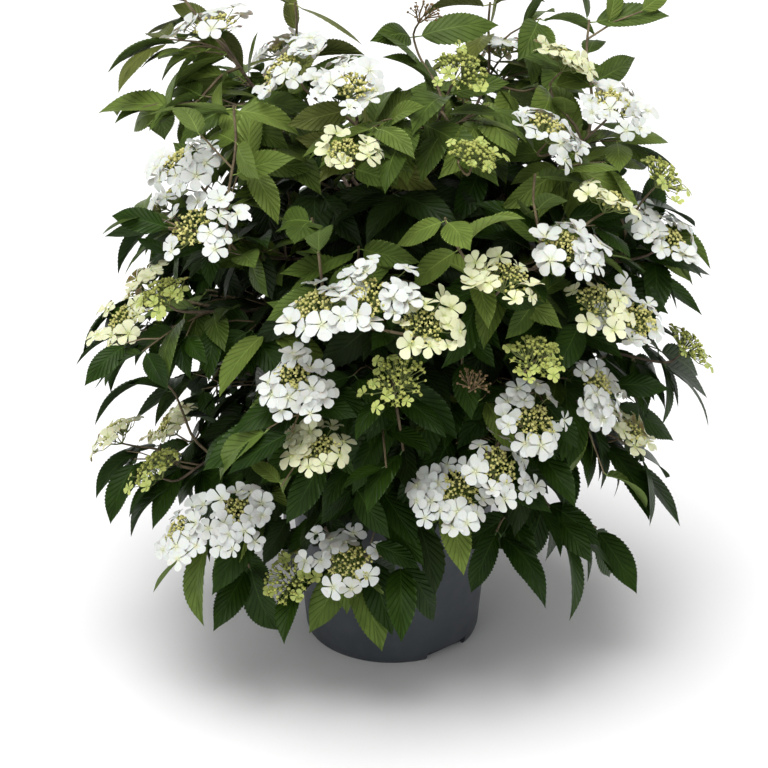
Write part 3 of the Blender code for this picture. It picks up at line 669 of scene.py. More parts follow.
# %% The foliage while it grows
class Foliage:
    """All that grows on the limbs: wood lines, leaves and flower heads."""

    def __init__(self, rng):
        self.rng = rng
        self.inside = False
        self.wood = []
        self.leaves = []
        self.heads = []
        self.centres = np.zeros((MOST_LEAVES, 3))
        self.shapes = []

    def remember(self, centre, shape):
        """Keep a shape that later leaves may not cross."""
        self.centres[len(self.shapes)] = centre
        self.shapes.append(shape)

    def keep_heads_open(self):
        """Remember each head's disc, and the ways it is seen from, where no leaf may grow."""
        sights = []
        for _, place, facing, radius in self.heads:
            rim = facing.orthogonal().normalized() * radius
            turns = [Quaternion(facing, math.tau * k / HEAD_SIDES) for k in range(HEAD_SIDES)]
            corners = [place + turn @ rim for turn in turns] + [place - facing * HEAD_DEPTH]
            sides = [(k, (k + 1) % HEAD_SIDES, HEAD_SIDES) for k in range(HEAD_SIDES)]
            self.remember(place, BVHTree.FromPolygons(corners, [*sides, tuple(range(HEAD_SIDES))]))
            sights.append((place, (facing + outward(place) * HEAD_LOOKS_OUT).normalized(), radius))
            if place.y < SEEN_TO:
                sights.append((place, (Vector(CAMERA_PLACE) - place).normalized(), radius))
        self.head_places, self.head_looks, self.head_radii = (np.array(part) for part in zip(*sights))

    def before_a_head(self, places):
        """True if any place is in the sight line of a flower head."""
        apart = np.array(places)[:, None, :] - self.head_places[None, :, :]
        ahead = (apart * self.head_looks[None, :, :]).sum(axis=2)
        aside = np.linalg.norm(apart - ahead[:, :, None] * self.head_looks[None, :, :], axis=2)
        in_front = (ahead > HEAD_BEHIND) & (ahead < HEAD_SIGHT)
        return bool((in_front & (aside < HEAD_OPEN * self.head_radii)).any())

    def free(self, name, places, room):
        """True if places are clear of the pot, and in their mass's space unless they are inside."""
        return clear_of_pot(places, room) and (self.inside or spaces.hold(name, places, room))

    def blade_fits(self, name, corners):
        """True if a leaf has room; it is then remembered for the next ones."""
        root, left, ridge, right, tip = corners
        places = [*corners[1:], (left + tip) / 2, (right + tip) / 2]
        if not clear_of_pot(places, MARGIN) or not self.free(name, places, -LEAF_STRAYS):
            return False
        if self.before_a_head(places):
            return False
        if not self.inside and not reach.holds(name, places, REACH_ROOM):
            return False
        left, right, tip = (ridge.lerp(edge, TEST_SHARE) for edge in (left, right, tip))
        blade = BVHTree.FromPolygons([root.lerp(ridge, BLADE_FOOT), left, ridge, right, tip], BLADE_FACETS)
        centre = (root + corners[-1]) / 2
        gaps = ((self.centres[: len(self.shapes)] - np.array(centre)) ** 2).sum(axis=1)
        near = np.nonzero(gaps < (NEAR_LENGTHS * LEAF_LENGTH) ** 2)[0]
        if any(blade.overlap(self.shapes[k]) for k in near):
            return False
        if not limbs.clear_of_leaf(corners, MARGIN, mine=name):
            return False
        self.remember(centre, blade)
        return True

    def add_leaf(self, name, node, heading, side, tone, at_end):
        """Try a leaf at a node, turned and shortened until it fits; returns whether it did."""
        pick = self.rng.uniform
        length = LEAF_LENGTH * pick(*LENGTH_VARIES) * (END_PAIR_LONGER if at_end else 1.0)
        for trial in range(LEAF_TRIALS):
            loose = trial / LEAF_TRIALS
            fall = at_height(LEAF_FALL, node.z) * pick(*FALL_VARIES) + loose * pick(*FALL_TURNS)
            forward = LEAF_FORWARD + loose * pick(*FORWARD_TURNS)
            out = outward(node) * (END_PAIR_OUT if at_end else 0.0)
            along = (heading * forward + side + out - UP * fall).normalized()
            facing = UP + outward(node) * LEAF_FACES_OUT
            facing = (facing - along * facing.dot(along)).normalized()
            facing.rotate(Quaternion(along, math.radians(pick(-LEAF_ROLL_DEG, LEAF_ROLL_DEG))))
            if self.blade_fits(name, leaf_corners(node, along, facing, length)):
                self.leaves.append((node, along, facing, length, tone))
                return True
            length *= LEAF_SHRINK
        return False

    def tone(self, place):
        """A spray's colour: a dark green inside the crown as painted shade, deep green low down partly as
        painted shade, fresher with height, bronzed on the top tips.
        """
        # Painted shade: leaves deep inside the crown get a darker green.
        if self.inside and math.hypot(place.x, place.y) < SHADE_RADIUS and place.z < SHADE_TOP:
            return "shade"
        if place.z > BRONZE_FROM and self.rng.random() < BRONZE_SHARE:
            return "bronze"
        # By height: deeper greens low down, partly painted shade, and fresher greens high up.
        low, high = TONE_HEIGHTS
        up = min(max((place.z - low) / (high - low), 0.0), 1.0)
        shares = [a + (b - a) * up for a, b in zip(TONE_SHARES_LOW, TONE_SHARES_HIGH)]
        return self.rng.choices(HEIGHT_TONES, shares)[0]

    def dress(self, name, points, spacing, tone, leading=False):
        """Pairs of leaves back from a shoot's end; returns the shoot up to its last leaf."""
        last_leaf = None
        for order, (node, heading) in enumerate(nodes_back(points, LAST_PAIR, spacing)):
            grown = [self.add_leaf(name, node, heading, side, tone, leading and order == 0)
                     for side in pair_sides(heading, order)]
            if any(grown) and last_leaf is None:
                last_leaf = order * spacing
        return None if last_leaf is None else shortened(points, last_leaf)

    def twigs(self, name, points, spacing, level=0):
        """Twigs from a shoot's nodes, one side and then the other, with shorter ones on them."""
        pick = self.rng.uniform
        for order, (node, heading) in enumerate(nodes_back(points, 0.5 * spacing, spacing)):
            sides = pair_sides(heading, order // 2)
            for side in (sides if self.inside else sides[order % 2 : order % 2 + 1]):
                lean = heading * pick(*TWIG_FORWARD) + side * TWIG_SPREAD + outward(node) * SHOOT_FORWARD
                along = (lean + UP * pick(*TWIG_RISE)).normalized()
                end = node + along * TWIG_LENGTHS[level] * pick(*TWIG_LENGTH_VARIES)
                width = TWIG_RADII[1][0]
                if not self.free(name, [end], MARGIN) or not limbs.clear_of_tube([node, end], width, name):
                    continue
                if not self.inside and not reach.holds(name, [end], TWIG_ROOM):
                    continue
                line = [node, (node + end) / 2 + UP * TWIG_ARCH * TWIG_LENGTHS[level], end]
                line = self.dress(name, line, TWIG_INTERNODE * spacing, self.tone(end))
                if line is None:
                    continue
                self.wood.append(("twig", line, tapering(len(line), *TWIG_RADII[level])))
                if level == 0:
                    self.twigs(name, line, SIDE_TWIG_GAP * spacing, level=1)

    def stalk_top(self, kind, place):
        """A shoot's last point, under its flower head, with the head kept for later."""
        if kind == "leafy":
            return []
        facing = (head_facing(place) + UP * HEAD_UPRIGHT).normalized()
        for axis in (facing.orthogonal(), facing.cross(facing.orthogonal())):
            askew = math.radians(self.rng.uniform(-HEAD_ASKEW_DEG, HEAD_ASKEW_DEG))
            facing.rotate(Quaternion(axis, askew))
        radius = HEAD_RADIUS[kind] * self.rng.uniform(*HEAD_SIZE_VARIES)
        self.heads.append((kind, place, facing, radius))
        return [place - facing * HEAD_DEPTH]

    def side_shoot(self, name, stem, end, order):
        """A shoot to an end by the first free way, straying from its space only where it has to."""
        nearest = min(range(len(stem)), key=lambda k: (stem[k] - end).length)
        forks = sorted(range(1, len(stem) - 1), key=lambda k: abs(k - nearest + 1))
        for slack in SHOOT_SLACKS:
            for k in forks:
                root = stem[k].lerp(stem[k + 1], FIRST_FORK + NEXT_FORK * order)
                along = (stem[k + 1] - stem[k]).normalized()
                towards = (end - root).normalized()
                leaving = (along * SHOOT_FORWARD + towards).normalized()
                points = flow(root, leaving, end, (arriving_at(end) + towards).normalized(), 4)
                inside = self.free(name, points[1:], SHOOT_RADII[0] + MARGIN - slack)
                if inside and limbs.clear_of_tube(points, SHOOT_RADII[0], name):
                    return points
        return None

    def shoots(self, name, ends):
        """A mass's stem and its side shoots as lines, with their wood and flower heads kept."""
        points, radii, split = limb_lines[name]
        collar = points[split] + (points[split] - points[split - 1]).normalized() * COLLAR
        stem = [points[split], collar, *points[split + 1 :]]
        top = self.stalk_top(*ends[0])
        self.wood.append(("bough", points + top, radii + [STALK_RADIUS] * len(top)))
        lines = [stem]
        for kind, place in ends[1:]:
            shoot = self.side_shoot(name, stem, wood_end(kind, place), len(lines))
            if shoot is None:
                print("no way to", name, kind)
                continue
            lines.append(shoot)
            top = self.stalk_top(kind, place)
            sizes = tapering(len(shoot), *SHOOT_RADII) + [STALK_RADIUS] * len(top)
            self.wood.append(("shoot", shoot + top, sizes))
        return lines


# %% Grow the sprays
foliage = Foliage(random.Random(SEED))
shoots_of = {name: foliage.shoots(name, ends) for name, ends in masses.items()}
foliage.keep_heads_open()
for name, shoots in shoots_of.items():
    for points in shoots:
        foliage.dress(name, points, INTERNODE, foliage.tone(points[-1]), leading=True)
for name, shoots in shoots_of.items():
    for points in shoots:
        foliage.twigs(name, points, INTERNODE * at_height(TWIG_GAPS, points[-1].z))
outer = len(foliage.leaves)
foliage.inside = True
for name, (points, radii, split) in limb_lines.items():
    start = 1 + round(LEAFY_BOUGH_FROM * split)
    foliage.twigs(name, points[start : split + 1], INNER_TWIG_GAP * INTERNODE)
print(outer, "leaves on the masses,", len(foliage.leaves) - outer, "inside,", len(foliage.heads), "heads")

# %% [markdown]
# ## Geometry Nodes that make what repeats
#
# A leaf is modelled a few times and dealt out to thousands of places, and every stem follows a
# line. Both are what Geometry Nodes do well. One tree puts shapes on points, each with its own
# turn and size. The other runs a round section along lines. Both end as plain realized meshes.

# %% Helpers that build and run a node tree
def new_tree(name, inputs):
    """A geometry node tree with a geometry input, the named inputs and a geometry output."""
    tree = bpy.data.node_groups.new(name, "GeometryNodeTree")
    tree.interface.new_socket("Geometry", in_out="INPUT", socket_type="NodeSocketGeometry")
    for label, kind in inputs:
        tree.interface.new_socket(label, in_out="INPUT", socket_type=kind)
    tree.interface.new_socket("Geometry", in_out="OUTPUT", socket_type="NodeSocketGeometry")
    return tree, tree.nodes.new("NodeGroupInput"), tree.nodes.new("NodeGroupOutput")


def node(tree, kind, links=(), **values):
    """Add a node, set its properties and plain inputs, and link (output, input name) pairs."""
    made = tree.nodes.new(kind)
    for key, value in values.items():
        if hasattr(made, key):
            setattr(made, key, value)
    for key, value in values.items():
        if not hasattr(made, key):
            made.inputs[key.replace("_", " ").title()].default_value = value
    for output, label in links:
        tree.links.new(output, made.inputs[label])
    return made


def stored(tree, name, kind):
    """An attribute that the source mesh carries."""
    reader = tree.nodes.new("GeometryNodeInputNamedAttribute")
    reader.data_type = kind
    reader.inputs["Name"].default_value = name
    return next(socket for socket in reader.outputs if socket.enabled and socket.name == "Attribute")


def run_tree(tree, source, name, **values):
    """Run a tree on a mesh and keep the result as a plain mesh object at the origin."""
    host = put_in_scene(name + "_source", source)
    modifier = host.modifiers.new("grow", "NODES")
    modifier.node_group = tree
    for item in tree.interface.items_tree:
        if item.in_out == "INPUT" and item.name in values:
            modifier[item.identifier] = values[item.name]
    evaluated = host.evaluated_get(bpy.context.evaluated_depsgraph_get())
    mesh = bpy.data.meshes.new_from_object(evaluated)
    bpy.data.objects.remove(host, do_unlink=True)
    bpy.data.meshes.remove(source)
    made = put_in_scene(name, mesh)
    mesh.calc_loop_triangles()
    print(name, len(mesh.loop_triangles), "triangles")
    return made


def points_mesh(places, **attributes):
    """A mesh of loose points with attributes as (kind, values)."""
    mesh = bpy.data.meshes.new("places")
    mesh.from_pydata([tuple(place) for place in places], [], [])
    for name, (kind, values) in attributes.items():
        numbers = np.array(values, dtype=int if kind == "INT" else float)
        mesh.attributes.new(name, kind, "POINT").data.foreach_set("value", numbers.ravel())
    return mesh


# %% A tree that deals shapes out to points
dealer, given, result = new_tree("deal_out_shapes", (
    ("Shapes", "NodeSocketCollection"), ("Material", "NodeSocketMaterial"),
    ("Underside", "NodeSocketMaterial"),
))
shapes = node(dealer, "GeometryNodeCollectionInfo", [(given.outputs["Shapes"], "Collection")],
              separate_children=True, reset_children=True)
placed = node(dealer, "GeometryNodeInstanceOnPoints", [
    (given.outputs["Geometry"], "Points"), (shapes.outputs[0], "Instance"),
    (stored(dealer, "shape", "INT"), "Instance Index"),
    (stored(dealer, "turn", "QUATERNION"), "Rotation"), (stored(dealer, "size", "FLOAT"), "Scale"),
], pick_instance=True)
real = node(dealer, "GeometryNodeRealizeInstances", [(placed.outputs[0], "Geometry")])
topped = node(dealer, "GeometryNodeSetMaterial", [
    (real.outputs[0], "Geometry"), (given.outputs["Material"], "Material"),
])
under = node(dealer, "GeometryNodeSetMaterial", [
    (topped.outputs[0], "Geometry"), (stored(dealer, "under", "BOOLEAN"), "Selection"),
    (given.outputs["Underside"], "Material"),
])
dealer.links.new(under.outputs[0], result.inputs["Geometry"])

# %% A tree that runs a section along lines
runner, given, result = new_tree("run_along_lines", (
    ("Sides", "NodeSocketInt"), ("Relief", "NodeSocketFloat"), ("Grain", "NodeSocketFloat"),
    ("Material", "NodeSocketMaterial"),
))
lines = node(runner, "GeometryNodeMeshToCurve", [(given.outputs["Geometry"], "Mesh")])
section = node(runner, "GeometryNodeCurvePrimitiveCircle", [(given.outputs["Sides"], "Resolution")],
               radius=1.0)
swept = node(runner, "GeometryNodeCurveToMesh", [
    (lines.outputs[0], "Curve"), (section.outputs[0], "Profile Curve"),
    (stored(runner, "girth", "FLOAT"), "Scale"),
], fill_caps=True)
noise = node(runner, "ShaderNodeTexNoise", [(given.outputs["Grain"], "Scale")], detail=3.0)
centred = node(runner, "ShaderNodeMath", [(noise.outputs["Fac"], 0)], operation="SUBTRACT")
centred.inputs[1].default_value = 0.5
height = node(runner, "ShaderNodeMath", [(centred.outputs[0], 0), (given.outputs["Relief"], 1)],
              operation="MULTIPLY")
normal = node(runner, "GeometryNodeInputNormal")
push = node(runner, "ShaderNodeVectorMath", [(normal.outputs[0], 0), (height.outputs[0], "Scale")],
            operation="SCALE")
rough = node(runner, "GeometryNodeSetPosition", [
    (swept.outputs[0], "Geometry"), (push.outputs[0], "Offset"),
])
soft = node(runner, "GeometryNodeSetShadeSmooth", [(rough.outputs[0], "Geometry")])
whole = node(runner, "GeometryNodeRealizeInstances", [(soft.outputs[0], "Geometry")])
painted = node(runner, "GeometryNodeSetMaterial", [
    (whole.outputs[0], "Geometry"), (given.outputs["Material"], "Material"),
])
runner.links.new(painted.outputs[0], result.inputs["Geometry"])


def lines_mesh(lines):
    """A mesh of open lines from (points, radii), each point with its girth."""
    places, edges, girths = [], [], []
    for points, radii in lines:
        edges += [(len(places) + k, len(places) + k + 1) for k in range(len(points) - 1)]
        places += [tuple(point) for point in points]
        girths += radii
    mesh = bpy.data.meshes.new("lines")
    mesh.from_pydata(places, edges, [])
    mesh.attributes.new("girth", "FLOAT", "POINT").data.foreach_set("value", girths)
    return mesh


print("trees:", dealer.name, runner.name)

# %% [markdown]
# ## Materials
#
# Every finish is a Principled shader with its detail from nodes. A leaf's pattern has to follow
# its veins, so the leaf mesh carries a UV map that counts veins along one axis and runs from the
# midrib to the margin along the other. Bark, plastic and compost read Object coordinates.

# %% Helpers for materials
def finish(name, roughness, plain=()):
    """A Principled material, with whole-surface values set on the shader itself."""
    made = bpy.data.materials.new(name)
    made.use_nodes = True
    shader = made.node_tree.nodes["Principled BSDF"]
    shader.inputs["Roughness"].default_value = roughness
    for key, value in plain:
        shader.inputs[key].default_value = value
    return made, made.node_tree, shader


def maths(tree, operation, first, second=None, clamp=False):
    """One sum, each side of it a socket or a plain number."""
    made = tree.nodes.new("ShaderNodeMath")
    made.operation = operation
    made.use_clamp = clamp
    for socket, value in zip(made.inputs, (first, second)):
        if isinstance(value, (int, float)):
            socket.default_value = value
        elif value is not None:
            tree.links.new(value, socket)
    return made.outputs[0]


def spread(tree, value, low, high, to_low=0.0, to_high=1.0):
    """Map a value's range to another, held at both ends."""
    made = tree.nodes.new("ShaderNodeMapRange")
    made.interpolation_type = "SMOOTHSTEP"
    tree.links.new(value, made.inputs["Value"])
    for key, number in (("From Min", low), ("From Max", high), ("To Min", to_low), ("To Max", to_high)):
        made.inputs[key].default_value = number
    return made.outputs[0]


def blended(tree, share, first, second):
    """Mix two colours, each a socket or plain numbers."""
    made = tree.nodes.new("ShaderNodeMix")
    made.data_type = "RGBA"
    tree.links.new(share, made.inputs["Factor"])
    for socket, value in ((made.inputs[6], first), (made.inputs[7], second)):
        if isinstance(value, tuple):
            socket.default_value = (*value, 1.0)
        else:
            tree.links.new(value, socket)
    return made.outputs[2]


def speckle(tree, scale, detail=2.0, kind="ShaderNodeTexNoise"):
    """A noise pattern, or one of cells, on Object coordinates."""
    coordinates = tree.nodes.new("ShaderNodeTexCoord").outputs["Object"]
    made = tree.nodes.new(kind)
    made.inputs["Scale"].default_value = scale
    made.inputs["Detail"].default_value = detail
    tree.links.new(coordinates, made.inputs["Vector"])
    return made.outputs[0]


def bumped(tree, shader, height, distance, strength=1.0):
    """Give a surface the relief of a pattern, the distance being its full height."""
    made = tree.nodes.new("ShaderNodeBump")
    made.inputs["Distance"].default_value = distance
    made.inputs["Strength"].default_value = strength
    tree.links.new(height, made.inputs["Height"])
    tree.links.new(made.outputs[0], shader.inputs["Normal"])


def own_tone(tree):
    """The number from 0 to 1 that each dealt shape carries."""
    made = tree.nodes.new("ShaderNodeAttribute")
    made.attribute_name = "tone"
    return made.outputs["Fac"]


def uv_axes(tree, name):
    """The two axes of a named UV map."""
    uv = tree.nodes.new("ShaderNodeUVMap")
    uv.uv_map = name
    axes = tree.nodes.new("ShaderNodeSeparateXYZ")
    tree.links.new(uv.outputs[0], axes.inputs[0])
    return axes.outputs[0], axes.outputs[1]


def paint(tree, shader, share, first, second):
    """Give a surface the mix of two colours."""
    tree.links.new(blended(tree, share, first, second), shader.inputs["Base Color"])


# %% [markdown]
# ## Leaf green
#
# The upper side is satin, with sunk parallel veins and quilted green between them, and painted
# shade darkens the green along the veins. Each leaf has a tone of its own, stored when it was dealt
# out. The underside is paler and dull.

# %% The leaf finishes
VEINS = 8
LEAF_GREENS = {
    "deep": ((0.008, 0.022, 0.002), (0.024, 0.054, 0.005)),
    "mid": ((0.036, 0.062, 0.009), (0.100, 0.150, 0.027)),
    "fresh": ((0.080, 0.120, 0.020), (0.160, 0.220, 0.044)),
    "bronze": ((0.066, 0.082, 0.017), (0.135, 0.152, 0.033)),
    # The shade greens are painted shade for the leaves deep inside the crown.
    "shade": ((0.008, 0.017, 0.003), (0.019, 0.036, 0.007)),
}


def leaf_finish(name, dark, light, roughness, gloss):
    """Leaf green with a pale midrib, painted shade along the sunk veins and a little mottling."""
    made, tree, shader = finish(name, roughness, [("Specular IOR Level", gloss)])
    across, along = uv_axes(tree, "leaf")
    from_vein = maths(tree, "PINGPONG", maths(tree, "MULTIPLY", along, float(VEINS)), 0.5)
    quilt = spread(tree, from_vein, 0.0, 0.22)
    midrib = spread(tree, across, 0.012, 0.055)
    mottle = spread(tree, speckle(tree, 70.0, 3.0), 0.3, 0.7, 0.0, 0.35)
    share = maths(tree, "ADD", maths(tree, "MULTIPLY", own_tone(tree), 0.65), mottle, clamp=True)
    body = blended(tree, share, dark, light)
    # Painted shade: the green darkens towards each sunk vein.
    vein_painted_shade = blended(tree, spread(tree, quilt, 0.0, 1.0, 0.34, 0.0), body, dark)
    rib = tuple(1.35 * value + 0.006 for value in light)
    paint(tree, shader, spread(tree, midrib, 0.0, 1.0, 0.7, 0.0), vein_painted_shade, rib)
    near_rib = spread(tree, across, 0.0, 0.35, 0.3, 1.0)
    fine = maths(tree, "MULTIPLY", speckle(tree, 650.0, 2.0), 0.35)
    raised = maths(tree, "MULTIPLY", maths(tree, "MULTIPLY", quilt, near_rib), midrib)
    relief = maths(tree, "ADD", raised, fine)
    bumped(tree, shader, relief, 0.0006)
    return made


def paler(colour, added):
    """The colour of an underside."""
    return tuple(added + 1.5 * value for value in colour)


leaf_tops = {
    tone: leaf_finish(f"leaf_{tone}", dark, light, 0.40, 0.11)
    for tone, (dark, light) in LEAF_GREENS.items()
}
leaf_unders = {
    tone: leaf_finish(f"leaf_under_{tone}", paler(dark, 0.018), paler(light, 0.024), 0.70, 0.12)
    for tone, (dark, light) in LEAF_GREENS.items()
}
print(len(leaf_tops) + len(leaf_unders), "leaf finishes")

# %% [markdown]
# ## Leaf shapes
#
# The blade is egg-shaped with a drawn-out tip, and two teeth stand at the margin for each vein.
# Six shapes are enough, from nearly flat to strongly hanging, folded up or down and twisted. Each
# is closed, with the midrib standing out below. Leaves deep in the shade have fewer faces.

# %% Model the leaf shapes
PETIOLE = 0.085
PROFILE = (
    (0.0, 0.0), (0.04, 0.34), (0.10, 0.60), (0.18, 0.81), (0.28, 0.95), (0.40, 1.0), (0.52, 0.97),
    (0.63, 0.86), (0.73, 0.68), (0.82, 0.45), (0.89, 0.25), (0.95, 0.10), (1.0, 0.0),
)
TOOTH = 0.026
BLADE_THICKNESS = 0.008
BLADE_CREST = 0.0015
KEEL_FADES = 1.7
PETIOLE_RADII = (0.011, 0.008)
PETIOLE_LOW = -0.004
LEAF_SHAPES = (
    {"bend": 44, "early": 0.42, "fold": 12, "twist": 0, "width": 1.00},
    {"bend": 26, "early": 0.45, "fold": 8, "twist": -8, "width": 1.06},
    {"bend": 66, "early": 0.38, "fold": -6, "twist": 6, "width": 0.96},
    {"bend": 52, "early": 0.30, "fold": 24, "twist": 12, "width": 0.90},
    {"bend": 38, "early": 0.55, "fold": -10, "twist": -14, "width": 1.04},
    {"bend": 60, "early": 0.50, "fold": 16, "twist": 5, "width": 0.94},
)
BEND_STEPS = 24
# Where the veins start on the midrib and end at the margin: the first, the span and the crowding.
VEIN_FEET = (0.010, 0.70, 1.15)
VEIN_ENDS = (0.17, 0.80, 0.86)
# Margin vertices from one vein to the next: share of the way, share of a tooth, lift, vein count.
TEETH = (
    (0.0, 0.55, 0.0, 0.0), (0.14, -0.15, 0.0, 0.15), (0.55, 0.45, BLADE_CREST, 0.5),
    (0.67, -0.15, 0.0, 0.67),
)


def closed_mesh(name, bm, soft=None, uv=None, where=None):
    """Face a shape outwards and keep it as a mesh; soft tells the smooth edges of a smooth one."""
    bmesh.ops.recalc_face_normals(bm, faces=bm.faces)
    for face in bm.faces:
        face.smooth = soft is not None
        for loop in face.loops if uv is not None else ():
            loop[uv].uv = where[loop.vert]
    for line in bm.edges:
        line.smooth = soft is None or soft(line)
    mesh = bpy.data.meshes.new(name)
    bm.to_mesh(mesh)
    bm.free()
    return mesh


def half_width(share, width):
    """Half the blade's width at a share of its length."""
    for (a, low), (b, high) in zip(PROFILE, PROFILE[1:]):
        if share <= b:
            return 0.5 * LEAF_WIDTH * width * (low + (high - low) * (share - a) / (b - a))
    return 0.0


def ridge_line(bend, early):
    """The blade's ridge from root to tip as (forward, up, slope), its ends on one level."""
    slopes = [math.radians(bend) * (early - (k / BEND_STEPS)) for k in range(BEND_STEPS + 1)]
    line = [(0.0, 0.0)]
    for slope in slopes[:-1]:
        y, z = line[-1]
        line.append((y + math.cos(slope) / BEND_STEPS, z + math.sin(slope) / BEND_STEPS))
    level = math.atan2(line[-1][1], line[-1][0])
    c, s = math.cos(level), math.sin(level)
    return [(y * c + z * s, z * c - y * s, slope - level) for (y, z), slope in zip(line, slopes)]


def arched(line, share, side, lift, fold, twist):
    """Bend a flat place on the blade: side and lift are across and up, share runs along it."""
    low, rest = divmod(share * BEND_STEPS, 1.0)
    a, b = line[int(low)], line[min(int(low) + 1, BEND_STEPS)]
    y, z, slope = (first + (second - first) * rest for first, second in zip(a, b))
    up = lift + abs(side) * math.tan(math.radians(fold))
    turn = math.radians(twist) * share
    across = side * math.cos(turn) - up * math.sin(turn)
    up = side * math.sin(turn) + up * math.cos(turn)
    blade = 1.0 - PETIOLE
    return Vector((across, PETIOLE + blade * y - up * math.sin(slope), blade * z + up * math.cos(slope)))


def along_veins(first, span, power):
    """A place along the blade for each vein, and for the tip."""
    return [first + span * (k / VEINS) ** power for k in range(VEINS + 1)]


def leaf_margin(edge, fine):
    """Margin vertices by vein: the vein's own tooth, and a half tooth after it on a fine leaf."""
    ends = along_veins(*VEIN_ENDS)
    teeth = TEETH if fine else TEETH[:2]
    rows = [[edge(a + share * (b - a), out, lift, k + vein) for share, out, lift, vein in teeth]
            for k, (a, b) in enumerate(zip(ends, ends[1:]))]
    return rows, edge(ends[VEINS], 0.2, 0.0, VEINS)


def leaf_shape(name, width, bend, early, fold, twist, fine=True):
    """One closed leaf of unit length along Y, facing Z, with the vein count in its UV map."""
    bm = bmesh.new()
    uv = bm.loops.layers.uv.new("leaf")
    line = ridge_line(bend, early)
    where = {}

    def place(share, side, lift, across, vein):
        """A vertex of the bent blade, with its place between midrib, margin and veins."""
        vert = bm.verts.new(arched(line, share, side, lift, fold, twist))
        where[vert] = (across, vein / VEINS)
        return vert

    feet = along_veins(*VEIN_FEET)
    root, tip = place(0.0, 0.0, 0.0, 0.0, 0.0), place(1.0, 0.0, 0.0, 1.0, VEINS)
    ribs = [place(foot, 0.0, 0.0, 0.0, k) for k, foot in enumerate(feet)]
    keels = [place(foot, 0.0, -BLADE_THICKNESS * (KEEL_FADES - foot), 0.0, k)
             for k, foot in enumerate(feet)]
    for sign in (1.0, -1.0):
        def edge(share, out, lift, vein):
            """A vertex of the margin, out by a share of a tooth."""
            reach = half_width(share, width)
            return place(share, sign * (reach + out * TOOTH * min(1.0, reach * 6)), lift, 1.0, vein)

        base = [edge(0.035, -0.2, 0.0, 0.0), edge(0.090, 0.1, 0.0, 0.0)]
        rows, last = leaf_margin(edge, fine)
        faces = [(root, ribs[0], base[1], base[0]), (ribs[0], rows[0][0], base[1])]
        lower = [(root, base[0], base[1], keels[0]), (keels[0], base[1], rows[0][0])]
        for k, row in enumerate(rows):
            following = rows[k + 1][0] if k + 1 < VEINS else last
            if fine:
                faces.append((ribs[k], ribs[k + 1], row[2], row[1], row[0]))
                faces.append((ribs[k + 1], following, row[3], row[2]))
            else:
                faces.append((ribs[k], ribs[k + 1], following, row[1], row[0]))
            lower.append((keels[k], *row, following, keels[k + 1]))
        faces.append((ribs[VEINS], tip, last))
        lower.append((keels[VEINS], last, tip))
        for group, is_under in ((faces, 0), (lower, 1)):
            for corners in group:
                made = bm.faces.new(corners if sign > 0 else corners[::-1])
                made.material_index = is_under
    add_petiole(bm, where)
    return finished_leaf(bm, uv, where, name)


def add_petiole(bm, where):
    """A three-sided stalk that runs into the blade's root."""
    ring = []
    for along, size in zip((0.0, PETIOLE + 0.03), PETIOLE_RADII):
        for k in range(3):
            angle = math.tau * k / 3 + math.pi / 2
            vert = bm.verts.new((size * math.cos(angle), along, size * math.sin(angle) + PETIOLE_LOW))
            where[vert] = (0.0, 0.0)
            ring.append(vert)
    sides = [(ring[0], ring[1], ring[2]), (ring[5], ring[4], ring[3])]
    sides += [(ring[k], ring[k + 3], ring[(k + 1) % 3 + 3], ring[(k + 1) % 3]) for k in range(3)]
    for corners in sides:
        bm.faces.new(corners).material_index = 1


def within_a_side(line):
    """True for an edge that doesn't lie between a leaf's upper and lower side."""
    return len({face.material_index for face in line.link_faces}) == 1


def finished_leaf(bm, uv, where, name):
    """The mesh, smooth but for its margin, with its underside marked as an attribute."""
    mesh = closed_mesh(name, bm, within_a_side, uv, where)
    under = np.zeros(len(mesh.polygons), dtype=np.int32)
    mesh.polygons.foreach_get("material_index", under)
    mesh.attributes.new("under", "BOOLEAN", "FACE").data.foreach_set("value", under.astype(bool))
    mesh.polygons.foreach_set("material_index", np.zeros_like(under))
    return mesh


def shape_collection(name, meshes):
    """Shapes to deal out, kept out of the scene."""
    made = bpy.data.collections.new(name)
    for mesh in meshes:
        made.objects.link(bpy.data.objects.new(mesh.name, mesh))
    return made


leaf_shapes = shape_collection("leaf_shapes", [
    leaf_shape(f"leaf_shape_{k}", **shape) for k, shape in enumerate(LEAF_SHAPES)
])
shade_shapes = shape_collection("shade_shapes", [
    leaf_shape(f"shade_shape_{k}", **shape, fine=False) for k, shape in enumerate(LEAF_SHAPES)
])
for group in (leaf_shapes, shade_shapes):
    print(group.name, len(group.objects), "of", len(group.objects[0].data.polygons), "faces")

# %% [markdown]
# ## Dealing out the leaves
#
# Every leaf found a place above. It now gets one of the shapes, turned so that the blade's length
# and face lie where the growth rule put them. Each spray colour makes one piece.

# %% Deal out the leaves
MASS_NAMES = sorted(masses)
BOUGH_NAMES = [f"bough_{name}" for name in MASS_NAMES]


def turned_to(along, facing):
    """The turn that lays a shape's Y along and its Z facing."""
    across = along.cross(facing).normalized()
    return Matrix((across, along, across.cross(along))).transposed().to_quaternion()


def deal(name, places, shapes, top, underside, rng):
    """Put shapes on (place, along, facing, size, shape) rows as one plain mesh piece."""
    mesh = points_mesh(
        [row[0] for row in places],
        turn=("QUATERNION", [tuple(turned_to(row[1], row[2])) for row in places]),
        size=("FLOAT", [row[3] for row in places]),
        shape=("INT", [row[4] for row in places]),
        tone=("FLOAT", [rng.random() for _ in places]),
    )
    return run_tree(dealer, mesh, name, Shapes=shapes, Material=top, Underside=underside)


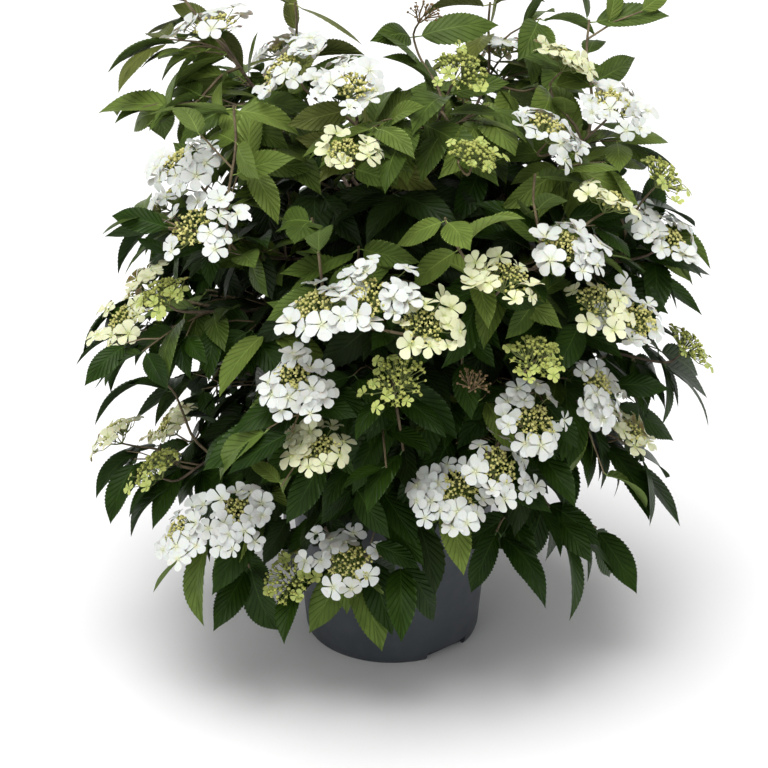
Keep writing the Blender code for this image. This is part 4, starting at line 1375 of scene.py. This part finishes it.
rng = random.Random(SEED + 1)
foliage_pieces = []
for tone in TONES:
    leaves = [leaf for leaf in foliage.leaves if leaf[4] == tone]
    rows = [(*leaf[:4], rng.randrange(len(LEAF_SHAPES))) for leaf in leaves]
    shapes = shade_shapes if tone == "shade" else leaf_shapes
    foliage_pieces.append(deal(f"leaves_{tone}", rows, shapes, leaf_tops[tone], leaf_unders[tone], rng))
print(len(foliage_pieces), "pieces of leaves")

# %% [markdown]
# ## Wood
#
# Boughs have a round section with a fine bark relief, and carry on into their mass as one limb.
# Twigs are four-sided, since they are a few pixels wide even from near. The trunk gets the same
# tree with more sides and a deeper relief.

# %% The bark and twig finishes
def bark_finish(name, dark, light, roughness=0.8):
    """Patchy bark with pale pores."""
    made, tree, shader = finish(name, roughness)
    broad, fine = speckle(tree, 55.0, 4.0), speckle(tree, 420.0, 3.0)
    patches = speckle(tree, 160.0, kind="ShaderNodeTexVoronoi")
    clouds, grain = spread(tree, broad, 0.35, 0.65, 0.0, 0.7), spread(tree, fine, 0.35, 0.65, 0.0, 0.3)
    body = blended(tree, maths(tree, "ADD", clouds, grain), dark, light)
    pores = spread(tree, patches, 0.05, 0.22, 0.45, 0.0)
    paint(tree, shader, pores, body, tuple(1.6 * value for value in light))
    relief = maths(tree, "ADD", maths(tree, "MULTIPLY", fine, 0.5), patches)
    bumped(tree, shader, relief, 0.0006)
    return made


old_bark = bark_finish("bark_old", (0.070, 0.048, 0.032), (0.200, 0.150, 0.105))
young_bark = bark_finish("bark_young", (0.090, 0.062, 0.032), (0.215, 0.165, 0.090), 0.65)
green_stalk = bark_finish("stalk_green", (0.120, 0.150, 0.040), (0.240, 0.290, 0.085), 0.6)

# %% Run the wood along its lines
def smoothed(points, radii, step):
    """A line with rounded bends: Catmull-Rom between its points, close enough for a bark relief."""
    ends = [points[0] * 2 - points[1], *points, points[-1] * 2 - points[-2]]
    places, sizes = [], []
    for k in range(len(points) - 1):
        a, b, c, d = ends[k : k + 4]
        count = max(1, round((c - b).length / step))
        for n in range(count):
            t = n / count
            places.append(0.5 * ((2 * b) + (c - a) * t + (2 * a - 5 * b + 4 * c - d) * t**2
                                 + (3 * b - a - 3 * c + d) * t**3))
            sizes.append(radii[k] + (radii[k + 1] - radii[k]) * t)
    return places + [points[-1]], sizes + [radii[-1]]


def wood(name, lines, sides, material, relief=0.0, grain=100.0):
    """Lines of wood as one plain mesh piece."""
    return run_tree(runner, lines_mesh(lines), name,
                    Sides=sides, Relief=relief, Grain=grain, Material=material)


def grown(kind):
    """The lines of one kind of wood."""
    return [(points, radii) for made, points, radii in foliage.wood if made == kind]


trunk = wood("trunk_bark", [smoothed(*trunk_line(), 0.004)], 28, old_bark, 0.0022, 190.0)
boughs = wood("boughs", [smoothed(*line, 0.006) for line in grown("bough")], 9, old_bark, 0.0008, 260.0)
shoots = wood("shoots", [smoothed(*line, 0.008) for line in grown("shoot")], 6, young_bark, 0.0004, 260.0)
twigs = wood("twigs", grown("twig"), 4, young_bark)

# %% [markdown]
# ## Flower heads
#
# A lacecap is a flat-topped cluster. Thin rays fork from the top of the stalk. The inner ones end
# in tiny fertile buds, set as the seeds of a sunflower are, and the outer ones carry the large
# florets. A head opens yellow-green, turns cream and then white, so each kind has its own
# florets, sizes and colours. A spent head keeps only its brown stalks.

# %% Petal, bud and stalk finishes
PETAL_SURFACE = (("Specular IOR Level", 0.35), ("Subsurface Weight", 0.12), ("Subsurface Scale", 0.004))


def petal_finish(name, base, eye):
    """Soft petals with fine lengthwise veins, tinted towards the eye."""
    made, tree, shader = finish(name, 0.55, PETAL_SURFACE)
    across, along = uv_axes(tree, "petal")
    inner = spread(tree, along, 0.05, 0.45, 1.0, 0.0)
    cloudy = spread(tree, speckle(tree, 130.0, 2.0), 0.3, 0.7, 0.0, 0.25)
    share = maths(tree, "ADD", inner, maths(tree, "MULTIPLY", cloudy, own_tone(tree)), clamp=True)
    paint(tree, shader, share, base, eye)
    veins = maths(tree, "PINGPONG", maths(tree, "MULTIPLY", across, 5.0), 0.5)
    bumped(tree, shader, veins, 0.0003, 0.7)
    return made


petals = {
    "white": petal_finish("petal_white", (0.70, 0.705, 0.68), (0.66, 0.67, 0.45)),
    "cream": petal_finish("petal_cream", (0.74, 0.73, 0.48), (0.58, 0.61, 0.26)),
    "green": petal_finish("petal_green", (0.48, 0.53, 0.15), (0.34, 0.42, 0.09)),
}


def bud_finish(name, dark, light):
    """Dull buds, each between a dark and a light colour."""
    made, tree, shader = finish(name, 0.6)
    share = maths(tree, "ADD", maths(tree, "MULTIPLY", own_tone(tree), 0.8),
                  spread(tree, speckle(tree, 500.0), 0.3, 0.7, 0.0, 0.2), clamp=True)
    paint(tree, shader, share, dark, light)
    return made


bud_colours = {
    "white": bud_finish("bud_cream", (0.42, 0.41, 0.09), (0.77, 0.72, 0.29)),
    "cream": bud_finish("bud_lime", (0.40, 0.40, 0.08), (0.74, 0.70, 0.28)),
    "green": bud_finish("bud_green", (0.24, 0.28, 0.04), (0.52, 0.54, 0.14)),
    "bud": bud_finish("bud_brown", (0.10, 0.060, 0.025), (0.26, 0.17, 0.07)),
}
brown_stalk = bark_finish("stalk_brown", (0.10, 0.065, 0.030), (0.22, 0.15, 0.075), 0.7)

# %% Floret and bud shapes
# Each floret shape's lift and droop of the petals in degrees, and how uneven they are.
FLORET_SHAPES = (
    (12, -22, 0.14), (30, -4, 0.22), (4, -34, 0.12), (20, 14, 0.28), (8, -14, 0.20), (26, -26, 0.16),
)
PETAL_OUTLINE = ((0.09, 0.06), (0.34, 0.19), (0.64, 0.36), (0.86, 0.32), (1.0, 0.11))
PETAL_SPINE = (0.10, 0.48, 0.94)
PETAL_CREST = 0.012
PETAL_BELLY = -0.045
PETAL_CUP = 0.55
PETAL_OVERLAP = 0.02
EYE_RADII = (0.12, 0.05)
EYE_HEIGHT = 0.10
SHARP_FROM = math.radians(60)


def in_one_petal(line):
    """True for an edge that is too blunt to look like a petal's rim."""
    return line.calc_face_angle(0.0) < SHARP_FROM


def floret_shape(name, lift, droop, uneven, petal_count=5):
    """A floret of unit radius facing Z: five broad closed petals round a small raised eye."""
    picker = random.Random(name)
    bm = bmesh.new()
    uv = bm.loops.layers.uv.new("petal")
    where = {}
    for petal in range(petal_count):
        angle = math.tau * (petal + picker.uniform(-0.12, 0.12)) / petal_count
        turn = Matrix.Rotation(angle, 4, "Z")
        length = 1.0 - uneven * picker.random()
        broad = picker.uniform(0.86, 1.14)
        tip_droop = math.radians(droop + picker.uniform(-18, 18))
        rise = math.radians(lift + picker.uniform(-10, 10))
        tilt = picker.uniform(-0.30, 0.30)

        def place(out, side, up):
            """A vertex of the drooping, cupped petal."""
            slope = rise + (tip_droop - rise) * out
            height = 0.5 * out * (math.sin(rise) + math.sin(slope))
            cupped = PETAL_CUP * side * side + tilt * side
            over = PETAL_OVERLAP * (petal % 2)
            vert = bm.verts.new(turn @ Vector((side, out * length, height + cupped + up + over)))
            where[vert] = (0.5 + side, out)
            return vert

        left = [place(out, -side * broad, 0.0) for out, side in PETAL_OUTLINE]
        right = [place(out, side * broad, 0.0) for out, side in PETAL_OUTLINE]
        middle = [place(out, 0.0, PETAL_CREST) for out in PETAL_SPINE]
        belly = place(PETAL_SPINE[1], 0.0, PETAL_BELLY)
        for corners in (
            (middle[0], right[0], right[1], right[2], middle[1]),
            (middle[1], right[2], right[3], middle[2]),
            (middle[2], right[3], right[4]),
            (left[0], middle[0], middle[1], left[2], left[1]),
            (left[2], middle[1], middle[2], left[3]),
            (left[3], middle[2], left[4]),
            (left[4], middle[2], right[4]),
            (belly, right[2], right[1], right[0], middle[0], left[0], left[1], left[2]),
            (belly, left[2], left[3], left[4], right[4], right[3], right[2]),
        ):
            bm.faces.new(corners)
    eye = bmesh.ops.create_cone(
        bm, cap_ends=True, segments=petal_count, radius1=EYE_RADII[0], radius2=EYE_RADII[1],
        depth=EYE_HEIGHT, matrix=Matrix.Translation((0.0, 0.0, EYE_HEIGHT / 2)),
    )
    for vert in eye["verts"]:
        where[vert] = (0.5, 0.0)
    return closed_mesh(name, bm, in_one_petal, uv, where)


def bud_shape(name, stretch, points):
    """A bud of unit radius: a small ball, with a ring of short tips where it has opened."""
    bm = bmesh.new()
    upright = Matrix.Diagonal((1.0, 1.0, stretch, 1.0))
    bmesh.ops.create_icosphere(bm, subdivisions=1, radius=1.0, matrix=upright)
    for k in range(points):
        angle = math.tau * k / points
        out = Vector((math.cos(angle), math.sin(angle), 0.0))
        aside = Vector((-out.y, out.x, 0.0)) * 0.55
        low = out * 0.5 - UP * 0.3
        places = (low + aside, low - aside, out * 0.5 + UP * 0.3, out * 2.1 + UP * 0.5)
        left, right, top, tip = (bm.verts.new(place) for place in places)
        for corners in ((left, right, tip), (right, top, tip), (top, left, tip), (right, left, top)):
            bm.faces.new(corners)
    return closed_mesh(name, bm, lambda line: True)


floret_shapes = shape_collection("floret_shapes", [
    floret_shape(f"floret_shape_{k}", *shape) for k, shape in enumerate(FLORET_SHAPES)
])
bud_shapes = shape_collection("bud_shapes", [
    bud_shape("bud_shape_0", 1.1, 0), bud_shape("bud_shape_1", 0.8, 4),
])

# %% Grow the flower heads
# Ring and disc are shares of the head's radius; floret, dome and bud are lengths in metres.
HeadSizes = namedtuple("HeadSizes", "florets floret ring buds disc dome bud")
HEADS = {
    "white": HeadSizes((8, 11), 0.0164, 0.78, 76, 0.50, 0.008, 0.0016),
    "cream": HeadSizes((6, 9), 0.0146, 0.78, 68, 0.54, 0.008, 0.0015),
    "green": HeadSizes((4, 7), 0.0085, 1.02, 84, 0.96, 0.012, 0.0018),
    "bud": HeadSizes((0, 0), 0.0, 0.8, 30, 0.95, 0.008, 0.0014),
}
RAYS = 7
FORK_SHARE = 0.26
FORK_LOW = -0.006
RAY_RADII = [0.0009, 0.0008, 0.0007]
FLORET_STALK_RADII = [0.0007, 0.0006, 0.0005]
BUD_STALK_RADII = [0.0006, 0.0005]
GOLDEN_DEG = 137.5
BUD_LEAN = 14.0
BUD_SIZES = (0.75, 1.2)
BUD_OPEN_CHOICES = (0, 0, 1)
FULL_SIDE = 0.14
RING_FULLER = 0.10
RING_UNEVEN = (0.84, 1.10)
FLORET_SIZES = (0.70, 1.14)
SECOND_ROW_CHANCE = 0.75
SECOND_ROW_SHARE = 0.60


class Head:
    """One flower head while it grows: its rays' forks, and the florets and buds that they carry."""

    def __init__(self, kind, place, facing, radius, rng):
        self.sizes = HEADS[kind]
        self.place, self.facing, self.radius, self.rng = place, facing, radius, rng
        self.right = facing.orthogonal().normalized()
        self.right.rotate(Quaternion(facing, rng.uniform(0.0, math.tau)))
        self.fore = facing.cross(self.right)
        base = place - facing * HEAD_DEPTH
        turns = [math.tau * (k + rng.uniform(-0.2, 0.2)) / RAYS for k in range(RAYS)]
        self.forks = [self.at(FORK_SHARE, turn, FORK_LOW) for turn in turns]
        self.lines = [([base, base.lerp(fork, 0.6) - facing * 0.0008, fork], RAY_RADII)
                      for fork in self.forks]
        self.buds, self.florets = [], []

    def at(self, share, angle, up):
        """A place in the head, from a share of its radius, an angle and a height."""
        level = self.right * math.cos(angle) + self.fore * math.sin(angle)
        return self.place + level * (share * self.radius) + self.facing * up

    def nearest_fork(self, spot):
        """The fork that a bud or floret hangs on."""
        return min(self.forks, key=lambda fork: (fork - spot).length)

    def add_buds(self):
        """The fertile disc: a dome of buds, set a little off the head's full side."""
        pick = self.rng.uniform
        sizes = self.sizes
        aside = self.right * (-FULL_SIDE * self.radius)
        for k in range(sizes.buds):
            share = sizes.disc * math.sqrt((k + 0.5) / sizes.buds)
            up = sizes.dome * (1.0 - (share / sizes.disc) ** 2) + pick(-0.0025, 0.0025)
            spot = self.at(share, math.radians(GOLDEN_DEG * k) + pick(-0.25, 0.25), up) + aside
            self.lines.append(([self.nearest_fork(spot), spot], BUD_STALK_RADII))
            lean = self.facing + (spot - self.place) * BUD_LEAN + self.right * pick(-0.3, 0.3)
            lean.normalize()
            size = sizes.bud * pick(*BUD_SIZES)
            shape = self.rng.choice(BUD_OPEN_CHOICES)
            self.buds.append((spot, lean.orthogonal().normalized(), lean, size, shape))

    def add_floret(self, share, angle, up):
        """A floret on its stalk, leaning outwards and a little askew."""
        pick = self.rng.uniform
        spot = self.at(share, angle, up)
        away = (spot - self.place).normalized()
        askew = self.right * pick(-0.45, 0.45) + self.fore * pick(-0.45, 0.45)
        lean = (self.facing + away * pick(-0.1, 0.9) + askew).normalized()
        spin = lean.orthogonal().normalized()
        spin.rotate(Quaternion(lean, pick(0.0, math.tau)))
        size = self.sizes.floret * pick(*FLORET_SIZES)
        self.florets.append((spot, spin, lean, size, self.rng.randrange(len(FLORET_SHAPES))))
        fork = self.nearest_fork(spot)
        low = fork.lerp(spot, 0.55) - self.facing * 0.003
        self.lines.append(([fork, low, spot - lean * 0.001], FLORET_STALK_RADII))

    def add_florets(self):
        """An uneven ring of florets, with a second row on the head's full side."""
        pick = self.rng.uniform
        count = self.rng.randint(*self.sizes.florets)
        for k in range(count):
            angle = math.tau * (k + pick(-0.42, 0.42)) / count
            full = math.cos(angle)
            share = self.sizes.ring * (1.0 + RING_FULLER * full) * pick(*RING_UNEVEN)
            self.add_floret(share, angle, pick(-0.004, 0.006))
            if full > 0.0 and self.rng.random() < SECOND_ROW_CHANCE:
                self.add_floret(share * SECOND_ROW_SHARE, angle + pick(-0.3, 0.3), pick(0.003, 0.008))


rng = random.Random(SEED + 2)
florets_of = {kind: [] for kind in HEADS}
buds_of = {kind: [] for kind in HEADS}
rays_of = {kind: [] for kind in HEADS}
for kind, place, facing, radius in foliage.heads:
    head = Head(kind, place, facing, radius, rng)
    head.add_buds()
    head.add_florets()
    florets_of[kind] += head.florets
    buds_of[kind] += head.buds
    rays_of[kind] += head.lines
for kind, colour in bud_colours.items():
    if florets_of[kind]:
        petal = petals[kind]
        piece = deal(f"florets_{kind}", florets_of[kind], floret_shapes, petal, petal, rng)
        foliage_pieces.append(piece)
    foliage_pieces.append(deal(f"buds_{kind}", buds_of[kind], bud_shapes, colour, colour, rng))
green_rays = rays_of["white"] + rays_of["cream"] + rays_of["green"]
foliage_pieces.append(wood("rays_green", green_rays, 3, green_stalk))
foliage_pieces.append(wood("rays_brown", rays_of["bud"], 3, brown_stalk))

# %% [markdown]
# ## Pot and compost
#
# The pot is thin moulded plastic: a tapering wall with a rolled rim band, a rounded foot and two
# drain slots cut in its edge. It is turned from a profile with enough sides to look round. The
# compost is a slightly domed, crumbly disc inside.

# %% The pot
POT_SIDES = 128
SLOT_TURNS = (40.0, 220.0)
SLOT_WIDTH_DEG = 33.0
SLOT_HEIGHT = 0.011
SLOT_DEPTH = 0.012
RIM_BAND = 0.016
FLOOR_TOP = 0.014
WALL_RINGS = (0.225, 0.18, 0.13, 0.08, 0.04, 0.016, 0.008)
POT_SHARP_DEG = 32.0

pot_plastic, tree, shader = finish("pot_moulded_plastic", 0.55, [("Specular IOR Level", 0.4)])
haze = spread(tree, speckle(tree, 9.0, 4.0), 0.3, 0.7)
dust = spread(tree, speckle(tree, 60.0, 5.0), 0.45, 0.75, 0.0, 0.5)
plain = blended(tree, haze, (0.034, 0.040, 0.048), (0.044, 0.051, 0.060))
paint(tree, shader, maths(tree, "MULTIPLY", dust, 0.35), plain, (0.085, 0.088, 0.090))
uneven = spread(tree, speckle(tree, 35.0, 3.0), 0.3, 0.7, 0.46, 0.62)
tree.links.new(uneven, shader.inputs["Roughness"])
bumped(tree, shader, speckle(tree, 1500.0, 2.0), 0.00012)


def turned(name, profile, sides):
    """A closed mesh turned round the upright axis from (radius, height) pairs."""
    bm = bmesh.new()
    rings = []
    for radius, height in profile:
        if radius == 0.0:
            rings.append([bm.verts.new((0.0, 0.0, height))] * sides)
            continue
        angles = [math.tau * k / sides for k in range(sides)]
        rings.append([bm.verts.new((radius * math.cos(angle), radius * math.sin(angle), height))
                      for angle in angles])
    for lower, upper in zip(rings, rings[1:]):
        for k in range(sides):
            n = (k + 1) % sides
            corners = list(dict.fromkeys((lower[k], lower[n], upper[n], upper[k])))
            if len(corners) > 2:
                bm.faces.new(corners)
    return put_in_scene(name, closed_mesh(name, bm))


band_foot = POT_HEIGHT - RIM_BAND
mouth = RIM_RADIUS - RIM_STEP - WALL
inside = [(0.0, FLOOR_TOP), (wall_radius(FLOOR_TOP) - WALL, FLOOR_TOP), (mouth, POT_HEIGHT - 0.0012)]
rim = [
    (mouth + 0.0012, POT_HEIGHT), (RIM_RADIUS - 0.0014, POT_HEIGHT),
    (RIM_RADIUS - 0.0004, POT_HEIGHT - 0.0005), (RIM_RADIUS, POT_HEIGHT - 0.0014),
    (RIM_RADIUS, band_foot + 0.0012), (RIM_RADIUS - 0.0006, band_foot),
    (wall_radius(band_foot) + 0.0002, band_foot - 0.0014),
]
outside = [(wall_radius(height), height) for height in WALL_RINGS]
foot = [
    (BASE_RADIUS - 0.0002, 0.0045), (BASE_RADIUS - 0.0012, 0.0018), (BASE_RADIUS - 0.0030, 0.0),
    (0.0, 0.0),
]
pot = turned("nursery_pot", inside + rim + outside + foot, POT_SIDES)
slots = []
for turn in SLOT_TURNS:
    width = 2.0 * BASE_RADIUS * math.sin(math.radians(SLOT_WIDTH_DEG / 2))
    bpy.ops.mesh.primitive_cube_add(size=1.0)
    slot = bpy.context.object
    slot.data.transform(Matrix.Diagonal((width, 2 * SLOT_DEPTH, 2 * SLOT_HEIGHT, 1.0)))
    at_edge = Matrix.Translation((0.0, -BASE_RADIUS, 0.0))
    slot.data.transform(Matrix.Rotation(math.radians(turn), 4, "Z") @ at_edge)
    cut = pot.modifiers.new("slot", "BOOLEAN")
    cut.operation = "DIFFERENCE"
    cut.object = slot
    slots.append(slot)
cut_mesh = bpy.data.meshes.new_from_object(pot.evaluated_get(bpy.context.evaluated_depsgraph_get()))
pot.modifiers.clear()
pot.data = cut_mesh
for slot in slots:
    bpy.data.objects.remove(slot, do_unlink=True)
pot.data.materials.clear()
pot.data.materials.append(pot_plastic)
pot.data.shade_smooth()
pot.data.set_sharp_from_angle(angle=math.radians(POT_SHARP_DEG))
print("pot", len(pot.data.polygons), "faces")

# %% The compost and its crumbs
SOIL_SIDES = 72
SOIL_GAP = 0.0006
SOIL_DEPTH = 0.012
SOIL_RINGS = (0.9, 0.75, 0.6, 0.45, 0.3, 0.15)
SOIL_WAVE = 0.0012
SOIL_SUNK = 0.001
CRUMB_COUNT = 1500
CRUMB_SQUASH = (0.8, 0.5, 1.0)
CRUMB_RADII = (0.0008, 0.0030)

compost, tree, shader = finish("compost_crumbly", 0.95)
fine = maths(tree, "MULTIPLY", speckle(tree, 260.0, 5.0), 0.6)
coarse = maths(tree, "MULTIPLY", speckle(tree, 40.0, 3.0), 0.4)
crumbly = maths(tree, "ADD", fine, coarse)
paint(tree, shader, spread(tree, crumbly, 0.35, 0.62), (0.012, 0.008, 0.005), (0.060, 0.038, 0.024))
bumped(tree, shader, speckle(tree, 320.0, 5.0), 0.0020)


def soil_height(share):
    """The compost's height at a share of its radius."""
    return SOIL_TOP + SOIL_CROWN * (1.0 - share**2)


soil_reach = wall_radius(SOIL_TOP) - WALL - SOIL_GAP
soil_edge = [(0.0, SOIL_TOP - SOIL_DEPTH), (soil_reach, SOIL_TOP - SOIL_DEPTH), (soil_reach, SOIL_TOP)]
soil_dome = [(soil_reach * share, soil_height(share)) for share in SOIL_RINGS]
soil = turned("compost_top", soil_edge + soil_dome + [(0.0, soil_height(0.0))], SOIL_SIDES)
for vert in soil.data.vertices:
    if vert.co.z >= SOIL_TOP and math.hypot(vert.co.x, vert.co.y) < soil_reach - 0.001:
        wave = math.sin(vert.co.x * 190.0) * math.cos(vert.co.y * 170.0 + vert.co.x * 60.0)
        vert.co.z += SOIL_WAVE * wave - SOIL_SUNK
soil.data.materials.append(compost)
soil.data.shade_smooth()


def crumb_shape(name, squash):
    """An angular crumb of about unit radius."""
    picker = random.Random(name)
    bm = bmesh.new()
    bmesh.ops.create_icosphere(bm, subdivisions=1, radius=1.0)
    for vert in bm.verts:
        vert.co *= picker.uniform(0.7, 1.2)
        vert.co.z *= squash
    return closed_mesh(name, bm)


rng = random.Random(SEED + 3)
crumb_shapes = shape_collection("crumb_shapes", [
    crumb_shape(f"crumb_shape_{k}", squash) for k, squash in enumerate(CRUMB_SQUASH)
])
crumbs = []
while len(crumbs) < CRUMB_COUNT:
    share, angle = math.sqrt(rng.random()), rng.uniform(0.0, math.tau)
    spot = Vector((math.cos(angle), math.sin(angle), 0.0)) * (share * (soil_reach - 0.004))
    if spot.length > TRUNK_FOOT_RADIUS + TRUNK_FLARE + 0.002:
        spot.z = soil_height(share)
        facing = Vector((rng.uniform(-1, 1), rng.uniform(-1, 1), rng.uniform(0.2, 1))).normalized()
        along, size = facing.orthogonal().normalized(), rng.uniform(*CRUMB_RADII)
        crumbs.append((spot, along, facing, size, rng.randrange(len(CRUMB_SQUASH))))
crumb_piece = deal("compost_crumbs", crumbs, crumb_shapes, compost, compost, rng)

# %% [markdown]
# ## Riding and replacing
#
# The plant and its pot are one body, so every piece rides on it. The leaves, flowers, shoots and
# twigs stand for the masses, and the boughs for the boughs and the stems inside the masses. Trunk,
# pot and compost stand for their own solids.

# %% Attach the pieces to the frame
for group in (leaf_shapes, shade_shapes, floret_shapes, bud_shapes, crumb_shapes):
    for shape in list(group.objects):
        bpy.data.meshes.remove(shape.data)
    bpy.data.collections.remove(group)
for piece in [*foliage_pieces, shoots, twigs]:
    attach(piece, "root")
    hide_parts(*MASS_NAMES)
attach(boughs, "root")
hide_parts(*BOUGH_NAMES, *MASS_NAMES)
for piece, cad_node, slot_name in (
    (trunk, "trunk", "bark"), (pot, "pot", "pot_plastic"), (soil, "soil", "compost"),
    (crumb_piece, "soil", "compost"),
):
    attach(piece, "root")
    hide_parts(cad_node)

# %% [markdown]
# ## Floor and light
#
# A pale floor and a sky that is bright at the horizon keep the background white. A distant, broad
# lamp overhead gives the soft shadow round the pot and the gloss on the leaves, and a weaker one
# from the front left brightens the flowers.

# %% Floor, world and lamps
FLOOR_SIZE = 60.0
SKY_STRENGTH = 0.40
HORIZON_STRENGTH = 1.1
HORIZON_TOP = 0.12
HORIZON_FADE = 0.08
FLOOR_SURFACE = (("Base Color", (0.90, 0.90, 0.90, 1.0)), ("Specular IOR Level", 0.0))

bpy.ops.mesh.primitive_plane_add(size=FLOOR_SIZE)
floor = bpy.context.object
floor.name = "floor"
floor.data.materials.append(finish("floor_pale", 0.9, FLOOR_SURFACE)[0])
floor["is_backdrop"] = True

world = bpy.data.worlds.new("studio")
world.use_nodes = True
sky = world.node_tree.nodes["Background"]
sky.inputs["Color"].default_value = (1.0, 1.0, 1.0, 1.0)
direction = world.node_tree.nodes.new("ShaderNodeTexCoord")
heights = world.node_tree.nodes.new("ShaderNodeSeparateXYZ")
world.node_tree.links.new(direction.outputs["Generated"], heights.inputs[0])
brightness = spread(world.node_tree, heights.outputs["Z"], HORIZON_TOP, HORIZON_TOP + HORIZON_FADE,
                    HORIZON_STRENGTH, SKY_STRENGTH)
world.node_tree.links.new(brightness, sky.inputs["Strength"])
bpy.context.scene.world = world


def broad_lamp(name, shines_from, strength, spread_deg):
    """A distant lamp that is the same over the whole floor, with soft shadows."""
    data = bpy.data.lights.new(name, "SUN")
    data.energy = strength
    data.angle = math.radians(spread_deg)
    lamp = put_in_scene(name, data)
    lamp.rotation_euler = Vector(shines_from).to_track_quat("Z", "Y").to_euler()


broad_lamp("overhead", (-0.08, -0.22, 1.0), 2.9, 46.0)
broad_lamp("front_left", (-0.9, -1.4, 0.9), 0.45, 30.0)
bpy.context.scene.view_settings.view_transform = "Standard"

# %% Measure and finish
bpy.context.view_layer.update()
seen_box = [list(corner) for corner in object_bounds()]
print("visual box", [[round(v, 4) for v in corner] for corner in seen_box])
